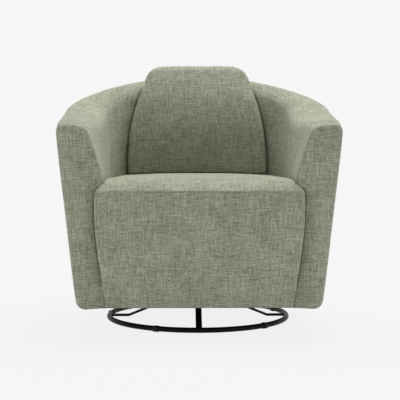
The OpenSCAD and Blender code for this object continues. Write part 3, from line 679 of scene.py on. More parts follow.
def lay_out(piece, charts, cut_from=0):
    """Lays a piece out on the cloth, in metres: cut_from says for each corner of its faces which
    chart it is on, and a chart says where the cloth of each point is"""
    corner = np.zeros(len(piece.data.loops), int)
    piece.data.loops.foreach_get("vertex_index", corner)
    layer = piece.data.uv_layers.new(name="cloth")
    layer.data.foreach_set("uv", charts[cut_from, corner].reshape(-1).astype(np.float32))


def cloth_grid(name, grid, charts, panels=None):
    """Cover of closed rows of points, its end rows closed across; panels says which of the charts
    each face is cut from"""
    rows, count = grid.shape[:2]
    half = count // 2
    low = [[i, count - 1 - i, count - 2 - i, i + 1] for i in range(half - 1)]
    top = (rows - 1) * count
    high = [[top + i, top + i + 1, top + count - 2 - i, top + count - 1 - i] for i in range(half - 1)]
    faces = ring_faces(rows, count, False) + low + high
    cover = new_piece(name, grid.reshape(-1, 3), faces, sage_cloth, "chair", "upholstery")
    chart_of = np.zeros(len(faces), int)
    if panels is not None:
        chart_of[:panels.size] = panels.reshape(-1)
    lay_out(cover, np.array([chart.reshape(-1, 2) for chart in charts]), np.repeat(chart_of, 4))
    return cover


def woven_cloth():
    """Sage-green heathered cloth in a plain weave, with slubs in both directions"""
    cloth, tree, shader = new_finish(
        "sage_slub_cloth",
        {"Roughness": 0.92, "Specular IOR Level": 0.25, "Sheen Weight": 0.25, "Sheen Roughness": 0.45,
         "Sheen Tint": (0.72, 0.75, 0.62, 1)})
    chart = node(tree, "UVMap", {}, uv_map="cloth")
    split = node(tree, "SeparateXYZ", {0: chart}).node
    yarn = 0.0022

    def place(x, y):
        return node(tree, "CombineXYZ", {0: x, 1: y})

    across, along = split.outputs[0], split.outputs[1]
    u, v = maths(tree, "DIVIDE", across, yarn), maths(tree, "DIVIDE", along, yarn)
    column, line = maths(tree, "FLOOR", u), maths(tree, "FLOOR", v)
    on_top = maths(tree, "MODULO", maths(tree, "ABSOLUTE", maths(tree, "ADD", column, line)), 2.0)

    def spun(count, run, run_length, seed):
        """Tone of one yarn, changing along its length"""
        at = place(maths(tree, "MULTIPLY_ADD", count, 3.17, seed), maths(tree, "DIVIDE", run, run_length))
        return node(tree, "TexNoise", {"Vector": at, "Scale": 1.0, "Detail": 2.0, "Roughness": 0.6},
                    noise_dimensions="2D")

    def slub(side, run, width, run_length, seed):
        """Thick places of the yarn, some millimetres wide and some centimetres long"""
        at = place(maths(tree, "DIVIDE", side, width), maths(tree, "MULTIPLY_ADD", run, 1 / run_length, seed))
        raised = node(tree, "TexNoise", {"Vector": at, "Scale": 1.0, "Detail": 1.0}, noise_dimensions="2D")
        return node(tree, "MapRange", {0: raised, 1: 0.56, 2: 0.74, 3: 0.0, 4: 1.0})

    warp, weft = spun(column, along, 0.045, 11.3), spun(line, across, 0.04, 47.9)
    slubs = maths(tree, "MAXIMUM", slub(across, along, 0.0045, 0.05, 3.7),
                  slub(along, across, 0.004, 0.042, 9.2))
    thin_places = maths(tree, "MAXIMUM", slub(across, along, 0.0035, 0.04, 21.4),
                        slub(along, across, 0.0035, 0.036, 33.8))
    fleck = node(tree, "TexWhiteNoise", {"Vector": place(column, line)}, noise_dimensions="2D")
    mottle = cloud(tree, surface_place(tree), 13, 3)
    tone = node(tree, "Mix", {0: on_top, 2: weft, 3: warp})
    tone = maths(tree, "MULTIPLY_ADD", maths(tree, "SUBTRACT", slubs, thin_places), 0.10, tone)
    tone = maths(tree, "MULTIPLY_ADD", maths(tree, "SUBTRACT", fleck, 0.5), 0.26, tone)
    tone = maths(tree, "MULTIPLY_ADD", maths(tree, "SUBTRACT", mottle, 0.5), 0.22, tone)
    colour = colours(tree, tone, (0.2, (0.185, 0.195, 0.133)), (0.5, (0.36, 0.378, 0.281)),
                     (0.82, (0.61, 0.62, 0.505)))
    rise_u, rise_v = (maths(tree, "ABSOLUTE", maths(tree, "SINE", maths(tree, "MULTIPLY", run, math.pi)))
                      for run in (u, v))
    height = node(tree, "Mix", {0: on_top, 2: rise_v, 3: rise_u})
    height = maths(tree, "MULTIPLY_ADD", slubs, 0.8, height)
    wire_up(tree, shader, colour, None, height, 0.00035, 0.7)
    return cloth


sage_cloth = woven_cloth()

# The cover's pieces on the cloth: outside and inside panels of each arm and of the back. Each
# piece of the chair is cut from a part of the cloth of its own.
panel_s = (0.6, 2.0, 3.4)
over_rail = np.interp(skin_marks, [5, 6, 10, 13, 16, 20], [0, 0, 0.3, 0.7, 1, 1])
skin_len = np.array([lengths(row) for row in skin_grid]) / 1000
rail_len = np.array([np.interp(line_mark, skin_marks, row) for row in skin_len])
tub_charts = []
for middle in panel_s:
    run_out, run_in = ((np.interp(stations, around, run) - np.interp(middle, around, run))[:, None]
                       for run in (outer_run / 1000, inner_run / 1000))
    outside = np.stack([np.repeat(run_out, len(skin_marks), axis=1), skin_len], axis=-1)
    inside = np.stack([mix(run_out, run_in, over_rail[None]), 1.3 + skin_len - rail_len[:, None]], axis=-1)
    for half_chart in (outside, inside):
        shifted = half_chart + np.array([3.0 * len(tub_charts), 0])
        tub_charts.append(np.concatenate([shifted, shifted[:, ::-1]], axis=1))
tub_grid = np.concatenate([skin_grid, hollow_grid[:, ::-1]], axis=1)
face_s = (stations[:-1] + stations[1:]) / 2
between_marks = (skin_marks[:-1] + skin_marks[1:]) / 2
face_mark = np.concatenate([between_marks, [20], between_marks[::-1], [0]])
panel_along = (face_s > seam_s[0]).astype(int) + (face_s > seam_s[1])
tub_panels = 2 * panel_along[:, None] + (face_mark > line_mark)[None]
tub_cover = cloth_grid("tub_cover", tub_grid, tub_charts, tub_panels)
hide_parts("arm_pad_left", "arm_pad_right", "back_pad")

# The arm facings: a flat panel closes the front of each arm, cloth over thin wadding and
# plywood. It is sewn in along the top and inner edge, and wraps round the outer edge.
facing_rim = contour(0, 0, 0, 0, rail_round(0), shoulder_r, 1)
facing_marks = marks_for(facing_rim, 6)

# Below the seat the facing follows the edge of the front panel: its cloth runs on under the
# panel there, and laps over the front rail where the panel is narrow
seam_z = 424
apron_hem_z = 95
apron_top_w = mouth_half_w + 21
apron_mid_w = mouth_half_w + 23
apron_hem_w = mouth_half_w - 9
apron_full_share = 0.86
edge_gap = 0.8
lap_gap = 2.2
lap_top = 140
edge_soft = 6.0
lap_soft = 2.2
lap_t = 3.1
seat_nip = 20
facing_dish = 5.0
dish_run = 26


def apron_x(z):
    """Half the width of the front panel at height z"""
    share = (z - apron_hem_z) / (seam_z - apron_hem_z)
    widening = math.sin(math.radians(90 * unit(share / apron_full_share))) ** 1.25
    past_widest = unit((share - apron_full_share) / (1 - apron_full_share))
    return mix(apron_hem_w, apron_mid_w, widening) - (apron_mid_w - apron_top_w) * past_widest ** 2


def edge_x(z):
    """Where the facing's inner edge is at height z"""
    beside = apron_x(min(z, seam_z)) + mix(lap_gap, edge_gap, smooth((z - lap_top) / 60))
    return mix(mouth_half_w, beside, smooth((seam_z + seat_nip - z) / seat_nip))


def facing_points(side):
    """Rings round the facing from its seam over the rounded edge to its flat middle"""
    rim = curve_through(facing_rim, facing_marks)
    toe = body_z + 0.5
    foot = np.array([[wall_w(0), z] for z in np.linspace(inner_hem_z, toe, 42)[1:]])
    sole = [[mix(wall_w(0), rim[0][0], share), mix(toe, hem_z, share)]
            for share in np.linspace(0, 1, 20)[1:-1]]
    soft = np.concatenate([np.interp(facing_marks, [0, 5, 6, 9, 11], [6, 9, 9, 3.5, 3]),
                           np.full(len(foot), 3.0), np.full(len(sole), 6.0)])
    rim = np.vstack([rim, foot, sole])
    lap, under = np.zeros(len(rim)), np.zeros(len(rim))
    for i in range(len(rim) - len(sole)):
        if rim[i, 0] > 0.9 * wall_w(0) and rim[i, 1] < seam_z + seat_nip:
            past = edge_x(rim[i, 1]) - mouth_half_w
            rim[i, 0] = wall_w(0) - past
            lap[i] = max(0.0, -past)
            under[i] = max(0.0, past)
            soft[i] = min(edge_soft, lap_soft + under[i])
    lift = lap_t * np.clip(lap / 2, 0, 1)
    ahead = np.roll(rim, -1, axis=0) - np.roll(rim, 1, axis=0)
    ahead /= np.linalg.norm(ahead, axis=1)[:, None]
    inward = np.column_stack([ahead[:, 1], -ahead[:, 0]])
    tuck = np.interp(soft, [1, 3, 6, 9], [0.1, 1.4, 0.4, 0.0])
    rings = [(inset * tuck + lap - under, depth) for depth, inset in ((0.0, 1.0), (1.6, 0.3), (3.2, 0.0))]
    for turn in np.radians([0, 22, 45, 68, 90]):
        rings.append((soft * (1 - math.cos(turn)) + (lap if turn == 0 else 0),
                      facing_t - soft + soft * math.sin(turn) + lift))
    for further in (3.0, 7.0, 12.0):
        rings.append((soft + further, facing_t + 0.25 * further ** 0.5 + lift * math.exp(-further / 20)))
    points = []
    for inset, depth in rings:
        flat = rim + inward * inset[:, None]
        y = pad_y - ease - depth + np.zeros(len(rim))
        points.append(np.column_stack([side * (outer_at(0)[0] - flat[:, 0]), y, flat[:, 1]]))
    return np.array(points)


def facing(side, name):
    """A facing: its rings, then rungs across its middle from one side of the last ring to the other"""
    rings = facing_points(side)
    count = rings.shape[1]
    half = count // 2
    rings = np.roll(rings, -int(np.argmax(rings[-1][:, 2])), axis=1)
    left, right = rings[-1][:half + 1], np.vstack([rings[-1][:1], rings[-1][::-1][:half]])
    shares = np.linspace(0, 1, 20)[1:-1, None, None]
    rungs = mix(left[None, 1:-1], right[None, 1:-1], shares)
    rungs[:, :, 1] -= 0.5 * np.sin(math.pi * shares[:, :, 0])
    faces = ring_faces(len(rings), count, False)
    index = np.arange(len(rings) * count).reshape(len(rings), count)
    back, last = index[0], index[-1]
    inner = index.size + np.arange(len(shares) * (half - 1)).reshape(len(shares), half - 1)
    lanes = np.vstack([last[1:half], inner, last[::-1][:half - 1]])
    faces += [[lanes[r, k], lanes[r + 1, k], lanes[r + 1, k + 1], lanes[r, k + 1]]
              for r in range(len(lanes) - 1) for k in range(half - 2)]
    faces.append([last[0], *lanes[:, 0][::-1]])
    faces.append([*lanes[:, -1], *last[half:count - half + 1]])
    faces += [[back[k], back[count - k], back[count - k - 1], back[k + 1]] for k in range(1, half - 1)]
    faces.append([back[0], back[count - 1], back[1]])
    points = np.vstack([rings.reshape(-1, 3), rungs.reshape(-1, 3)])
    points[:, 1] -= puckers(points, (1, 0.2, 1), 0.5, 90, 6.0 + side) * (points[:, 1] < pad_y - 9)
    beside = np.abs(points[:, 0]) - np.vectorize(edge_x)(points[:, 2])
    low = np.clip((seam_z + 60 - points[:, 2]) / 60, 0, 1) * np.clip((points[:, 2] - apron_hem_z) / 80, 0, 1)
    points[:, 1] += facing_dish * np.exp(-np.maximum(beside, 0) / dish_run) * low * np.clip(
        (pad_y - ease - points[:, 1]) / facing_t, 0, 1)
    faces = [[int(i) for i in face] for face in faces]
    piece = new_piece(name, points, faces, sage_cloth, "chair", "upholstery")
    lay_out(piece, (points[:, [0, 2]] / 1000 + np.array([21 + side, 0.0]))[None])
    return piece


for side, hand in ((1, "right"), (-1, "left")):
    arm_facing = facing(side, "arm_facing_cover_" + hand)
    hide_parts("arm_facing_" + hand)

# The seat: one crowned block of foam in a sewn cover, drawn tight between the arms. Its front
# rolls over and meets the front panel in a plain seam.
seat_crown_z = 455
seat_under_z = 345
apron_t = 30
apron_full = 6
apron_y = -arm_front - apron_t
front_roll_run = 60
corner_fall = 22
corner_x = 266
corner_run = 90
lip_up = 2
side_dip = 5
side_rise = 8
side_rise_run = 250
joint_drop = 24
lip_draw = 5
lip_run = 12
rear_gap = 1.2


def well_x(y):
    """Half the width of the well at the place y, as far as the seat foam fills it"""
    if y < 0:
        return mix(mouth_half_w, well_half_w, unit((y - pad_y) / -pad_y)) - ease
    return well_half_w * (1 - (y / well_back) ** well_square) ** (1 / well_square) - ease - rear_gap


def front_roll(y):
    """How far the seat's rolled front edge has risen at the place y, from 0 to 1"""
    return 1 - (1 - unit((y - apron_y) / front_roll_run)) ** 2.2


def seat_edge(y):
    """Height of the seat along its sides, which stand a little higher towards the front"""
    side_z = seat_side_z - side_dip + side_rise * smooth((60 - y) / side_rise_run)
    return mix(seam_z + lip_up, side_z, front_roll(y))


def seat_top(x, y):
    middle = mix(seam_z + lip_up, seat_crown_z, front_roll(y))
    return seat_edge(y) + (middle - seat_edge(y)) * (1 - unit(abs(x) / well_x(min(y, 0))) ** 2.5)


def joint_z(y):
    """Height of the slanted joint between the seat and the front panel"""
    return seam_z - joint_drop * (y - apron_y) / apron_t


def lip_x(y):
    """Half the width of the seat's lip, which lies on the front panel"""
    return apron_top_w - lip_draw * (1 - unit((y - apron_y) / lip_run)) ** 2


def seat_section(x, y, under_z):
    """Upper outline of the seat at the place y, from one side over the crown to the other"""
    tall = unit((seat_edge(y) - under_z) / 60)
    side = [[x - draw * tall, mix(under_z, seat_edge(y), share)]
            for draw, share in ((8, 0), (2, 0.1), (0, 0.32), (0, 0.76), (1.6, 0.9), (6, 0.985))]
    w = x - mix(4, 15, tall)
    crown = [[k * w, seat_top(k * w, y)] for k in (1, 0.9, 0.75, 0.5, 0.25, 0, -0.25, -0.5, -0.75, -0.9, -1)]
    return np.array(side + crown + [[-p[0], p[1]] for p in reversed(side)])


seat_ys = [(y, True) for y in (-399.4, -398.6, -397.2, -395, -392, -388, -383, -377, -370.5)]
seat_ys += [(y, False) for y in np.concatenate([np.arange(-370, 120, 8.5), np.arange(120, 223, 6.0)])]
seat_marks = marks_for(seat_section(270, -100, seat_under_z), 8.5)
seat_rows = []
for y, on_lip in seat_ys:
    x = lip_x(y) if on_lip else well_x(y)
    under_z = joint_z(y) + ease if on_lip else seat_under_z
    over_row = curve_through(seat_section(x, y, under_z), seat_marks)
    raised = np.clip((over_row[:, 1] - under_z) / (seat_edge(y) - under_z), 0, 1)
    rounding = min(corner_fall, 0.8 * (seat_edge(y) - under_z)) * (1 - smooth((y + arm_front) / corner_run))
    into_corner = np.clip((np.abs(over_row[:, 0]) - corner_x) / (apron_top_w - corner_x), 0, 1)
    over_row[:, 1] -= raised * rounding * into_corner ** 2.2
    under_x = np.linspace(-(x - 16), x - 16, len(over_row))
    row = np.vstack([over_row, np.column_stack([under_x, np.full(len(over_row), under_z)])])
    seat_rows.append(np.column_stack([row[:, 0], np.full(len(row), y), row[:, 1]]))
seat_grid = np.array(seat_rows)
upper = len(seat_marks)
places = seat_grid[:, :upper]
seat_out = outwards(places, 30, upper // 2, (0, 0, 1))
seat_y = np.array([y for y, on_lip in seat_ys])
from_seam = seat_y - seat_y[0]
proud = swells(places, (1.3, 170, 4.2), (0.4, 55, 7.7))
proud += puckers(places, (1, 0.2, 0.2), 0.7, 13, 1.9) * np.exp(-from_seam / 16)[:, None]
proud *= np.interp(from_seam, [0, 6, 20], [0, 0.6, 1])[:, None]
proud *= np.interp(np.abs(places[:, :, 0]), [0, 240, 272], [1, 1, 0.2])
seat_grid[:, :upper] += seat_out * proud[:, :, None]


def point_values(mesh, kind):
    """Places or normals of a mesh's points"""
    values = np.zeros(len(mesh.vertices) * 3)
    mesh.vertices.foreach_get(kind, values)
    return values.reshape(-1, 3)


def fill_out(piece, held, slack, most):
    """Blows a sewn cover out over its filling: cloth under light pressure that starts slack
    millimetres too small, held where held is 1, and that moves by no more than most"""
    scene = bpy.context.scene
    settling = 20
    held = held.reshape(-1)
    sewn, normals = point_values(piece.data, "co"), point_values(piece.data, "normal")
    cover = bpy.data.objects.new(piece.name + "_filling", piece.data.copy())
    scene.collection.objects.link(cover)
    small = sewn - normals * ((1 - held) * slack / 1000)[:, None]
    cover.data.vertices.foreach_set("co", small.reshape(-1))
    cover.data.update()
    pins = cover.vertex_groups.new(name="held")
    for i in np.nonzero(held > 0.01)[0]:
        pins.add([int(i)], float(held[i]), "REPLACE")
    cloth = cover.modifiers.new("Filling", "CLOTH")
    cloth.settings.vertex_group_mass = "held"
    cloth.settings.use_pressure = True
    cloth.settings.uniform_pressure_force = 4
    cloth.settings.effector_weights.gravity = 0
    cloth.settings.quality = 5
    cloth.settings.bending_stiffness = 4
    cloth.collision_settings.use_collision = False
    cloth.point_cache.frame_start = 1
    cloth.point_cache.frame_end = settling
    for moment in range(1, settling + 1):
        scene.frame_set(moment)
    move = point_values(cover.evaluated_get(bpy.context.evaluated_depsgraph_get()).data, "co") - sewn
    far = np.linalg.norm(move, axis=1)
    move *= np.minimum(1, most / 1000 / np.maximum(far, 1e-9))[:, None]
    piece.data.vertices.foreach_set("co", (sewn + move).reshape(-1))
    piece.data.update()
    spare = cover.data
    bpy.data.objects.remove(cover)
    bpy.data.meshes.remove(spare)
    scene.frame_set(1)


def row_chart(grid, middle, start, heights):
    """Chart of a cover whose rows lie straight across the cloth, each measured from its middle"""
    chart = np.zeros(grid.shape[:2] + (2,))
    for i, row in enumerate(grid):
        run = lengths(row) / 1000
        chart[i] = np.column_stack([run - run[middle] + start, np.full(len(run), heights[i])])
    return chart


seat_chart = row_chart(seat_grid, upper // 2, 31, lengths(seat_grid[:, upper // 2]) / 1000)
seat_cover = cloth_grid("seat_cushion_cover", seat_grid, [seat_chart])
seat_held = np.ones(seat_grid.shape[:2])
seat_held[:, :upper] = np.interp(seat_marks, [5, 6.5, seat_marks[-1] - 6.5, seat_marks[-1] - 5], [1, 0, 0, 1])
seat_held = np.maximum(seat_held, np.interp(from_seam, [0, 3, 12], [1, 0.8, 0])[:, None])
seat_held = np.maximum(seat_held, np.interp(seat_y, [70, 120], [0, 1])[:, None])
fill_out(seat_cover, seat_held, 2.5, 4.5)
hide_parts("seat_cushion")


# The front panel: cloth over wadding on the front rails, sewn to the seat along its top. It
# stands a little before the arms, narrows to its hem and is turned under there.
apron_soft = 11
seam_r = 3.5
hem_turn = 3
hem_run = 12
panel_marks = np.concatenate([np.arange(0, 4, 0.5), np.linspace(4, 18, 66), np.arange(18.5, 22.1, 0.5)])


def bulged(w, y, full, soft, steps, side, marks):
    """Front of a cushion in plan: from its right side round the soft edge, over a middle that
    stands full before the edge, to its left side"""
    edge = [side, [w, y + full + soft], [w - 0.1 * soft, y + full + soft / 2],
            [w - 0.4 * soft, y + full + soft / 6]]
    front = [[k * (w - soft), y + full * abs(k) ** 2.4] for k in np.linspace(1, -1, steps)]
    return curve_through(edge + front + [[-p[0], p[1]] for p in reversed(edge)], marks)


def turned_in(r, share):
    """How far an edge rounded to the radius r has drawn in at this share of its rounding"""
    return r * (1 - math.sqrt(1 - share ** 2))


def panel_row(z):
    """One row round the panel at height z: over its front from right to left, then behind"""
    w = apron_x(z)
    into_seam = unit((z - (seam_z - seam_r)) / seam_r)
    turned = hem_turn * (1 - smooth((z - apron_hem_z) / hem_run)) + turned_in(seam_r, into_seam)
    rear_y = -arm_front - ease
    front = bulged(w, apron_y + turned, apron_full, apron_soft, 15, [w - 0.2, rear_y], panel_marks)
    rear = np.column_stack([np.linspace(-w + 0.8, w - 0.8, len(front)), np.full(len(front), rear_y)])
    return np.array([[x, y, min(z, joint_z(y))] for x, y in np.vstack([front, rear])])


panel_zs = np.concatenate([[95, 96.5, 99.5, 104, 111], np.arange(120, seam_z - 15, 8.5),
                          seam_z - np.array([13, 9, 6, 4, 2.5, 1.4, 0.6, 0.1, 0])])
panel_grid = np.array([panel_row(z) for z in panel_zs])
shown = len(panel_marks)
places = panel_grid[:, :shown]
panel_out = outwards(places, 20, shown // 2, (0, -1, 0))
below_seam = seam_z - panel_zs
proud = swells(places, (1.2, 160, 9.4), (0.35, 50, 12.6))
proud += puckers(places, (1, 0.2, 0.2), 0.6, 12, 14.1) * np.exp(-below_seam / 14)[:, None]
proud *= np.interp(below_seam, [0, 5, 18, 300, 332], [0, 0.6, 1, 1, 0.3])[:, None]
panel_grid[:, :shown] += panel_out * proud[:, :, None]
panel_chart = row_chart(panel_grid, shown // 2, 41, panel_zs / 1000)
front_panel = cloth_grid("front_panel_cover", panel_grid, [panel_chart])
panel_held = np.ones(panel_grid.shape[:2])
panel_held[:, :shown] = np.interp(panel_marks, [3, 5, 17, 19], [1, 0, 0, 1])
panel_held = np.maximum(panel_held, np.interp(below_seam, [0, 3, 14, 316, 330], [1, 0.8, 0, 0, 1])[:, None])
fill_out(front_panel, panel_held, 2.0, 6)
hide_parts("seat_apron")

# The hem strip: a flat strip of the same cloth covers the front rail behind the panel. It is
# turned under the rail, and its end lies between the rail and the dust cover's edge.
strip_half_w = mouth_half_w + 1.6
strip_out = [[-370.25, 330], [-370.25, 200], [-370.3, 110], [-370.7, 97], [-370.2, 91.4], [-368.6, 89.5],
             [-364, 89.15], [-352, 89.15]]
strip_in = [[-369.8, 330], [-369.8, 200], [-369.8, 110], [-369.9, 97], [-369.75, 91.6], [-368.2, 89.95],
            [-364, 89.75], [-352, 89.75]]
strip_marks = np.linspace(0, len(strip_out) - 1, 43)
strip_loop = np.vstack([curve_through(strip_out, strip_marks), curve_through(strip_in, strip_marks)[::-1]])
strip_xs = np.linspace(-strip_half_w, strip_half_w, 70)
strip_grid = np.array([np.column_stack([np.full(len(strip_loop), x), strip_loop]) for x in strip_xs])
on_hem = (strip_grid[:, :, 2] < 110) * (strip_grid[:, :, 1] < -arm_front)
strip_grid[:, :, 1] -= 0.25 * (1 + ripple(strip_grid, 40, 61.0)) * on_hem
strip_chart = np.stack(np.meshgrid(strip_xs / 1000 + 61, -lengths(strip_loop) / 1000, indexing="ij"), axis=-1)
hem_strip = cloth_grid("front_hem_strip", strip_grid, [strip_chart])

# The back pad: a tall block of foam in its own sewn cover, leaning on the inside of the tub. It
# narrows to a raised head with rounded shoulders and fills out a little in the middle.
pad_t = 132
pad_recline = 112
pad_full = 20
pad_face_y = well_back - pad_t
pad_rear_gap = 3.2
head_r = 24
foot_r = 9
pad_soft = 22
foot_tuck = 24
waist_out = 10
waist_z = 590
head_back = 30
rear_back = 32
rear_back_z = 728


def behind(x, z):
    """Inner face of the wall behind the back pad, at the place x and height z"""
    g = unit((z - flare_z) / (rail_h - rail_fall - shoulder_r - flare_z))
    wide = (1 - (abs(x) / (well_half_w + back_flare * 0.4 * g)) ** well_square) ** (1 / well_square)
    return (well_back + back_flare * g) * wide - pad_rear_gap


def pad_row(z, low):
    """One row round the pad at height z, over its face and back along the wall; low is the
    height above the seat where the bottom edge is rounded"""
    into_head = unit((z - head_z + head_r) / head_r)
    head_turn = turned_in(head_r, into_head)
    foot = 0.0 if low is None else turned_in(foot_r, 1 - low / foot_r)
    tuck = foot_tuck * math.exp(-(z - seat_side_z) / 55) - waist_out * math.exp(-((z - waist_z) / 90) ** 2)
    y = pad_face_y + pad_recline * unit((z - seat_side_z) / (head_z - seat_side_z)) ** 1.1
    y += head_turn + foot + tuck + head_back * smooth((z - groove_top) / 150)
    rear_lean = rear_back * smooth((z - rear_back_z) / 90) - head_turn
    fade = mix(0.6, 1, smooth((z - seat_side_z) / 120)) - 0.4 * smooth((z - neck_z) / (head_z - neck_z))
    full = pad_full * fade
    w = pad_x(z) - foot
    soft = min(pad_soft, (behind(w, z) + rear_lean - y - full) / 2)
    side_y = behind(w - 3, z) + rear_lean + 7 * (1 - smooth((z - groove_top) / 60))
    front = bulged(w, y, full, soft, 13, [w - 4, side_y], pad_marks)
    xs = np.linspace(-(w - 6), w - 6, len(front))
    row = np.vstack([front, np.column_stack([xs, [behind(x, z) + rear_lean for x in xs]])])
    height = [z if low is None else max(z, seat_top(x, 0) + 2 * ease + low) for x, y in row]
    return np.column_stack([row, height])


pad_marks = np.interp(range(89), [0, 8, 20, 68, 80, 88], [0, 1, 4, 16, 19, 20])
pad_rows = [pad_row(seat_side_z, low) for low in (0.0, 0.4, 1.5, 3.3, 6.0, 9.0)]
pad_rows += [pad_row(z, None) for z in (*np.arange(476, neck_z, 8.5), *head_line[:, 1])]
pad_grid = np.array(pad_rows)
face_count = len(pad_marks)
places = pad_grid[:, :face_count]
pad_outwards = outwards(places, 20, face_count // 2, (0, -1, 0))
proud = swells(places, (1.8, 150, 21.0), (0.5, 48, 25.0))
proud *= np.interp(places[:, :, 2], [455, 480, 790, 813], [0.2, 1, 1, 0.2])
pad_grid[:, :face_count] += pad_outwards * proud[:, :, None]
pad_chart = row_chart(pad_grid, face_count // 2, 51, lengths(pad_grid[:, face_count // 2]) / 1000)
back_cover = cloth_grid("back_cushion_cover", pad_grid, [pad_chart])
pad_held = np.ones(pad_grid.shape[:2])
pad_held[:, :face_count] = np.interp(pad_marks, [1, 2, 18, 19], [1, 0, 0, 1])
pad_held = np.maximum(pad_held, np.interp(pad_grid[:, :1, 2], [460, 480, 785, 811], [1, 0, 0, 1]))
fill_out(back_cover, pad_held, 3.0, 7)
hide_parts("back_cushion")


# The webbing: woven jute straps behind the back pad, standing side by side between the seat hoop
# and the curved board above it. They are undyed and ribbed across.
def jute_webbing():
    jute, tree, shader = new_finish("jute_webbing", {"Roughness": 0.9, "Specular IOR Level": 0.2})
    place = surface_place(tree)
    colour = colours(tree, cloud(tree, place, 420, 4), (0.3, (0.12, 0.11, 0.09)), (0.7, (0.24, 0.21, 0.16)))
    ribs = node(tree, "TexWave", {"Vector": place, "Scale": 120, "Distortion": 1.5, "Detail": 2},
                bands_direction="Z")
    wire_up(tree, shader, colour, None, ribs, 0.0004)
    return jute


dress("back_webbing", jute_webbing(), 0.4)


# The dust cover: black non-woven cambric under the frame, stretched round the swivel's square
# opening and stapled to the base hoop a thumb's width inside the hem.
def black_cambric():
    cambric, tree, shader = new_finish("black_cambric", {"Specular IOR Level": 0.25})
    place = surface_place(tree)
    felt = cloud(tree, place, 300, 5, 0.7)
    colour = colours(tree, felt, (0.3, (0.018, 0.018, 0.019)), (0.75, (0.045, 0.045, 0.046)))
    dots = node(tree, "TexVoronoi", {"Vector": place, "Scale": 620})
    wire_up(tree, shader, colour, between(tree, felt, 0.75, 0.95), dots, 0.0002)
    return cambric


frame_z = body_z + 2
rim_n = max(pad_out, hem_r) + 1.5
swivel_w = 190
dust_t = 0.4
dust_sag = 1.6
dust_gap = 0.9
dust_pull = 0.5
hem_inside = -0.75
hoop_s = np.concatenate([np.linspace(0, 0.99, 24), np.linspace(1, 3, 96), np.linspace(3.01, 4, 24)])


def rim_at(s, inside):
    """Outline of the frame's underside, so far inside its edge"""
    o = outer_at(s)
    return o + (well_at(s) - o) / wall_w(s) * (face_n(s, frame_z) + rim_n + inside)


edge = [rim_at(s, hem_inside) for s in hoop_s]
edge += [edge[-1] + (edge[0] - edge[-1]) * k / 60 for k in range(1, 60)]
edge = np.array(edge)
hole_half = swivel_w / 2 + 2
hole = edge / np.max(np.abs(edge), axis=1)[:, None] * hole_half
cut_area = abs(np.sum(edge[:, 0] * np.roll(edge[:, 1], -1) - np.roll(edge[:, 0], -1) * edge[:, 1])) / 2
cut_area = (cut_area - (2 * hole_half) ** 2) / 1e6
dust_rows = []
for share in np.concatenate([[0, 0.03, 0.06, 0.1], np.linspace(0.16, 0.94, 12), [1.0]]):
    flat = hole + (edge - hole) * (1 - share)
    sag = dust_sag * math.sin(math.pi * share) ** 0.8
    row = np.column_stack([flat, np.full(len(flat), frame_z - dust_gap - sag)])
    pulls = ripple(row * np.array([1, 1, 0]), 34, 4.4) * math.exp(-min(share, 1 - share) / 0.12)
    row[:, 2] -= dust_pull * (1 + pulls)
    dust_rows.append(row)
dust_rows = np.array(dust_rows)
dust_rows = np.concatenate([dust_rows, dust_rows[::-1] + np.array([0, 0, dust_t])])
dust_cloth = new_piece("dust_cloth", dust_rows.reshape(-1, 3), ring_faces(len(dust_rows), len(edge), True),
                       black_cambric(), "chair", "cambric")
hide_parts("dust_cover")


def staple(at, ahead):
    """Crown and two legs of a wire staple, its legs up in the timber"""
    crown = 5.5
    leg = 2.5
    wire_w = 1.1
    wire_t = 0.35
    path = [(-crown, leg), (-crown, 0.3), (-crown + 0.6, -0.1),
            (crown - 0.6, -0.1), (crown, 0.3), (crown, leg)]
    side = np.array([-ahead[1], ahead[0]])
    points, faces = [], []
    for k, (run, up) in enumerate(path):
        for across, lift in ((-0.5, 0), (0.5, 0), (0.5, wire_t), (-0.5, wire_t)):
            height = frame_z - dust_gap - 1 + up + (lift if 0 < k < 5 else 0)
            points.append([*(at + ahead * run + side * wire_w * across), height])
        if k:
            a = 4 * k
            faces += [[a + j, a + (j + 1) % 4, a - 4 + (j + 1) % 4, a - 4 + j] for j in range(4)]
    faces += [[3, 2, 1, 0], [4 * len(path) - 4 + j for j in range(4)]]
    return np.array(points), faces


staple_in = 9
staple_parts = []
for k in range(0, len(edge), 4):
    step = edge[(k + 1) % len(edge)] - edge[k - 1]
    step /= np.linalg.norm(step)
    inside = np.array([-step[1], step[0]])
    slanted = step * math.cos(0.35 * (-1) ** k + 0.1 * k) + inside * math.sin(0.25 * math.sin(k))
    staple_parts.append(staple(edge[k] + inside * staple_in, slanted / np.linalg.norm(slanted)))
staples = new_piece("dust_cloth_staples", *joined(staple_parts), bright_zinc, "chair", "zinc_steel")
staples.data.shade_flat()

# The studio: a pale seamless floor under large soft lamps, with the chair seen from a little
# above its seat, straight from the front.
paper_white = (0.922, 0.922, 0.922, 1)


def seen_plainly(tree):
    """1 where the camera, a reflection or clear glass sees the surface, 0 where light falls on it"""
    rays = tree.nodes.new("ShaderNodeLightPath").outputs
    direct = maths(tree, "MAXIMUM", rays["Is Camera Ray"], rays["Is Glossy Ray"])
    return maths(tree, "MAXIMUM", direct, rays["Is Transmission Ray"])


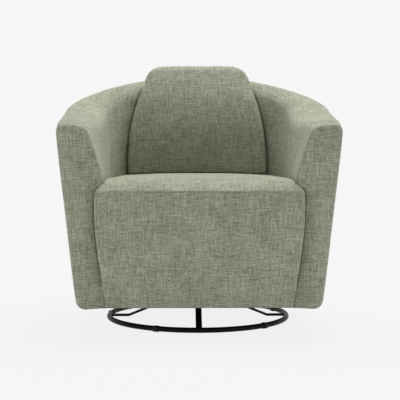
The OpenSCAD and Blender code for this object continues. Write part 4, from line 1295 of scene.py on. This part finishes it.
def studio_floor():
    paper, tree, shader = new_finish("studio_paper", {"Roughness": 0.9, "Specular IOR Level": 0.0})
    place = surface_place(tree)
    pale = colours(tree, cloud(tree, place, 300, 3), (0.0, (0.80, 0.80, 0.80)), (1.0, (0.83, 0.83, 0.83)))
    tree.links.new(pale, shader.inputs["Base Color"])
    flat = node(tree, "VectorMath", {0: place, 1: (1, 1, 0)}, operation="MULTIPLY")
    away = node(tree, "VectorMath", {0: flat}, operation="LENGTH").node.outputs[1]
    far = node(tree, "MapRange", {0: away, 1: 0.5, 2: 1.5, 3: 0.93, 4: 1.0})
    share = maths(tree, "MULTIPLY", seen_plainly(tree), far)
    glow = node(tree, "Emission", {"Color": paper_white, "Strength": 1.0})
    mixed = node(tree, "MixShader", {0: share, 1: shader.outputs[0], 2: glow})
    tree.links.new(mixed, tree.nodes["Material Output"].inputs["Surface"])
    return paper


floor_mesh = bpy.data.meshes.new("studio_floor")
floor_mesh.from_pydata([(-9, -9, 0), (9, -9, 0), (9, 9, 0), (-9, 9, 0)], [], [(0, 1, 2, 3)])
floor_mesh.materials.append(studio_floor())
floor = bpy.data.objects.new("studio_floor", floor_mesh)
bpy.context.scene.collection.objects.link(floor)

sky = bpy.data.worlds.new("studio_light")
sky.use_nodes = True
bpy.context.scene.world = sky
tree = sky.node_tree
seen = seen_plainly(tree)
light = node(tree, "Background", {"Color": (1, 1, 1, 1), "Strength": 0.15})
backdrop = node(tree, "Background", {"Color": paper_white, "Strength": 1.0})
tree.links.new(node(tree, "MixShader", {0: seen, 1: light, 2: backdrop}),
               tree.nodes["World Output"].inputs["Surface"])


def soft_box(name, at, aim, wide, deep, watts):
    lamp = bpy.data.lights.new(name, "AREA")
    lamp.shape = "RECTANGLE"
    lamp.size, lamp.size_y, lamp.energy = wide, deep, watts
    box = bpy.data.objects.new(name, lamp)
    box.location = at
    box.rotation_euler = (Vector(aim) - Vector(at)).to_track_quat("-Z", "Y").to_euler()
    box.visible_camera = False
    bpy.context.scene.collection.objects.link(box)


soft_box("overhead_box", (0.3, 0.95, 3.7), (0, 0, 0.4), 2.8, 2.4, 149)
soft_box("left_box", (-2.0, -1.5, 0.42), (0, -0.3, 0.3), 1.4, 0.8, 13)
soft_box("right_box", (2.1, -1.5, 0.42), (0, -0.3, 0.3), 1.4, 0.8, 13)
soft_box("front_box", (0.3, -4.4, 3.0), (0, 0, 0.4), 2.4, 1.6, 8)

lens = bpy.data.cameras.new("camera")
lens.lens = 102.37
lens.sensor_width = 36
camera = bpy.data.objects.new("camera", lens)
camera.location = (-0.0484, -3.5997, 0.604)
aim = Vector((0.0067, 0.0, 0.3761))
camera.rotation_euler = (aim - camera.location).to_track_quat("-Z", "Y").to_euler()
bpy.context.scene.collection.objects.link(camera)
bpy.context.scene.camera = camera
bpy.context.scene.view_settings.view_transform = "Standard"
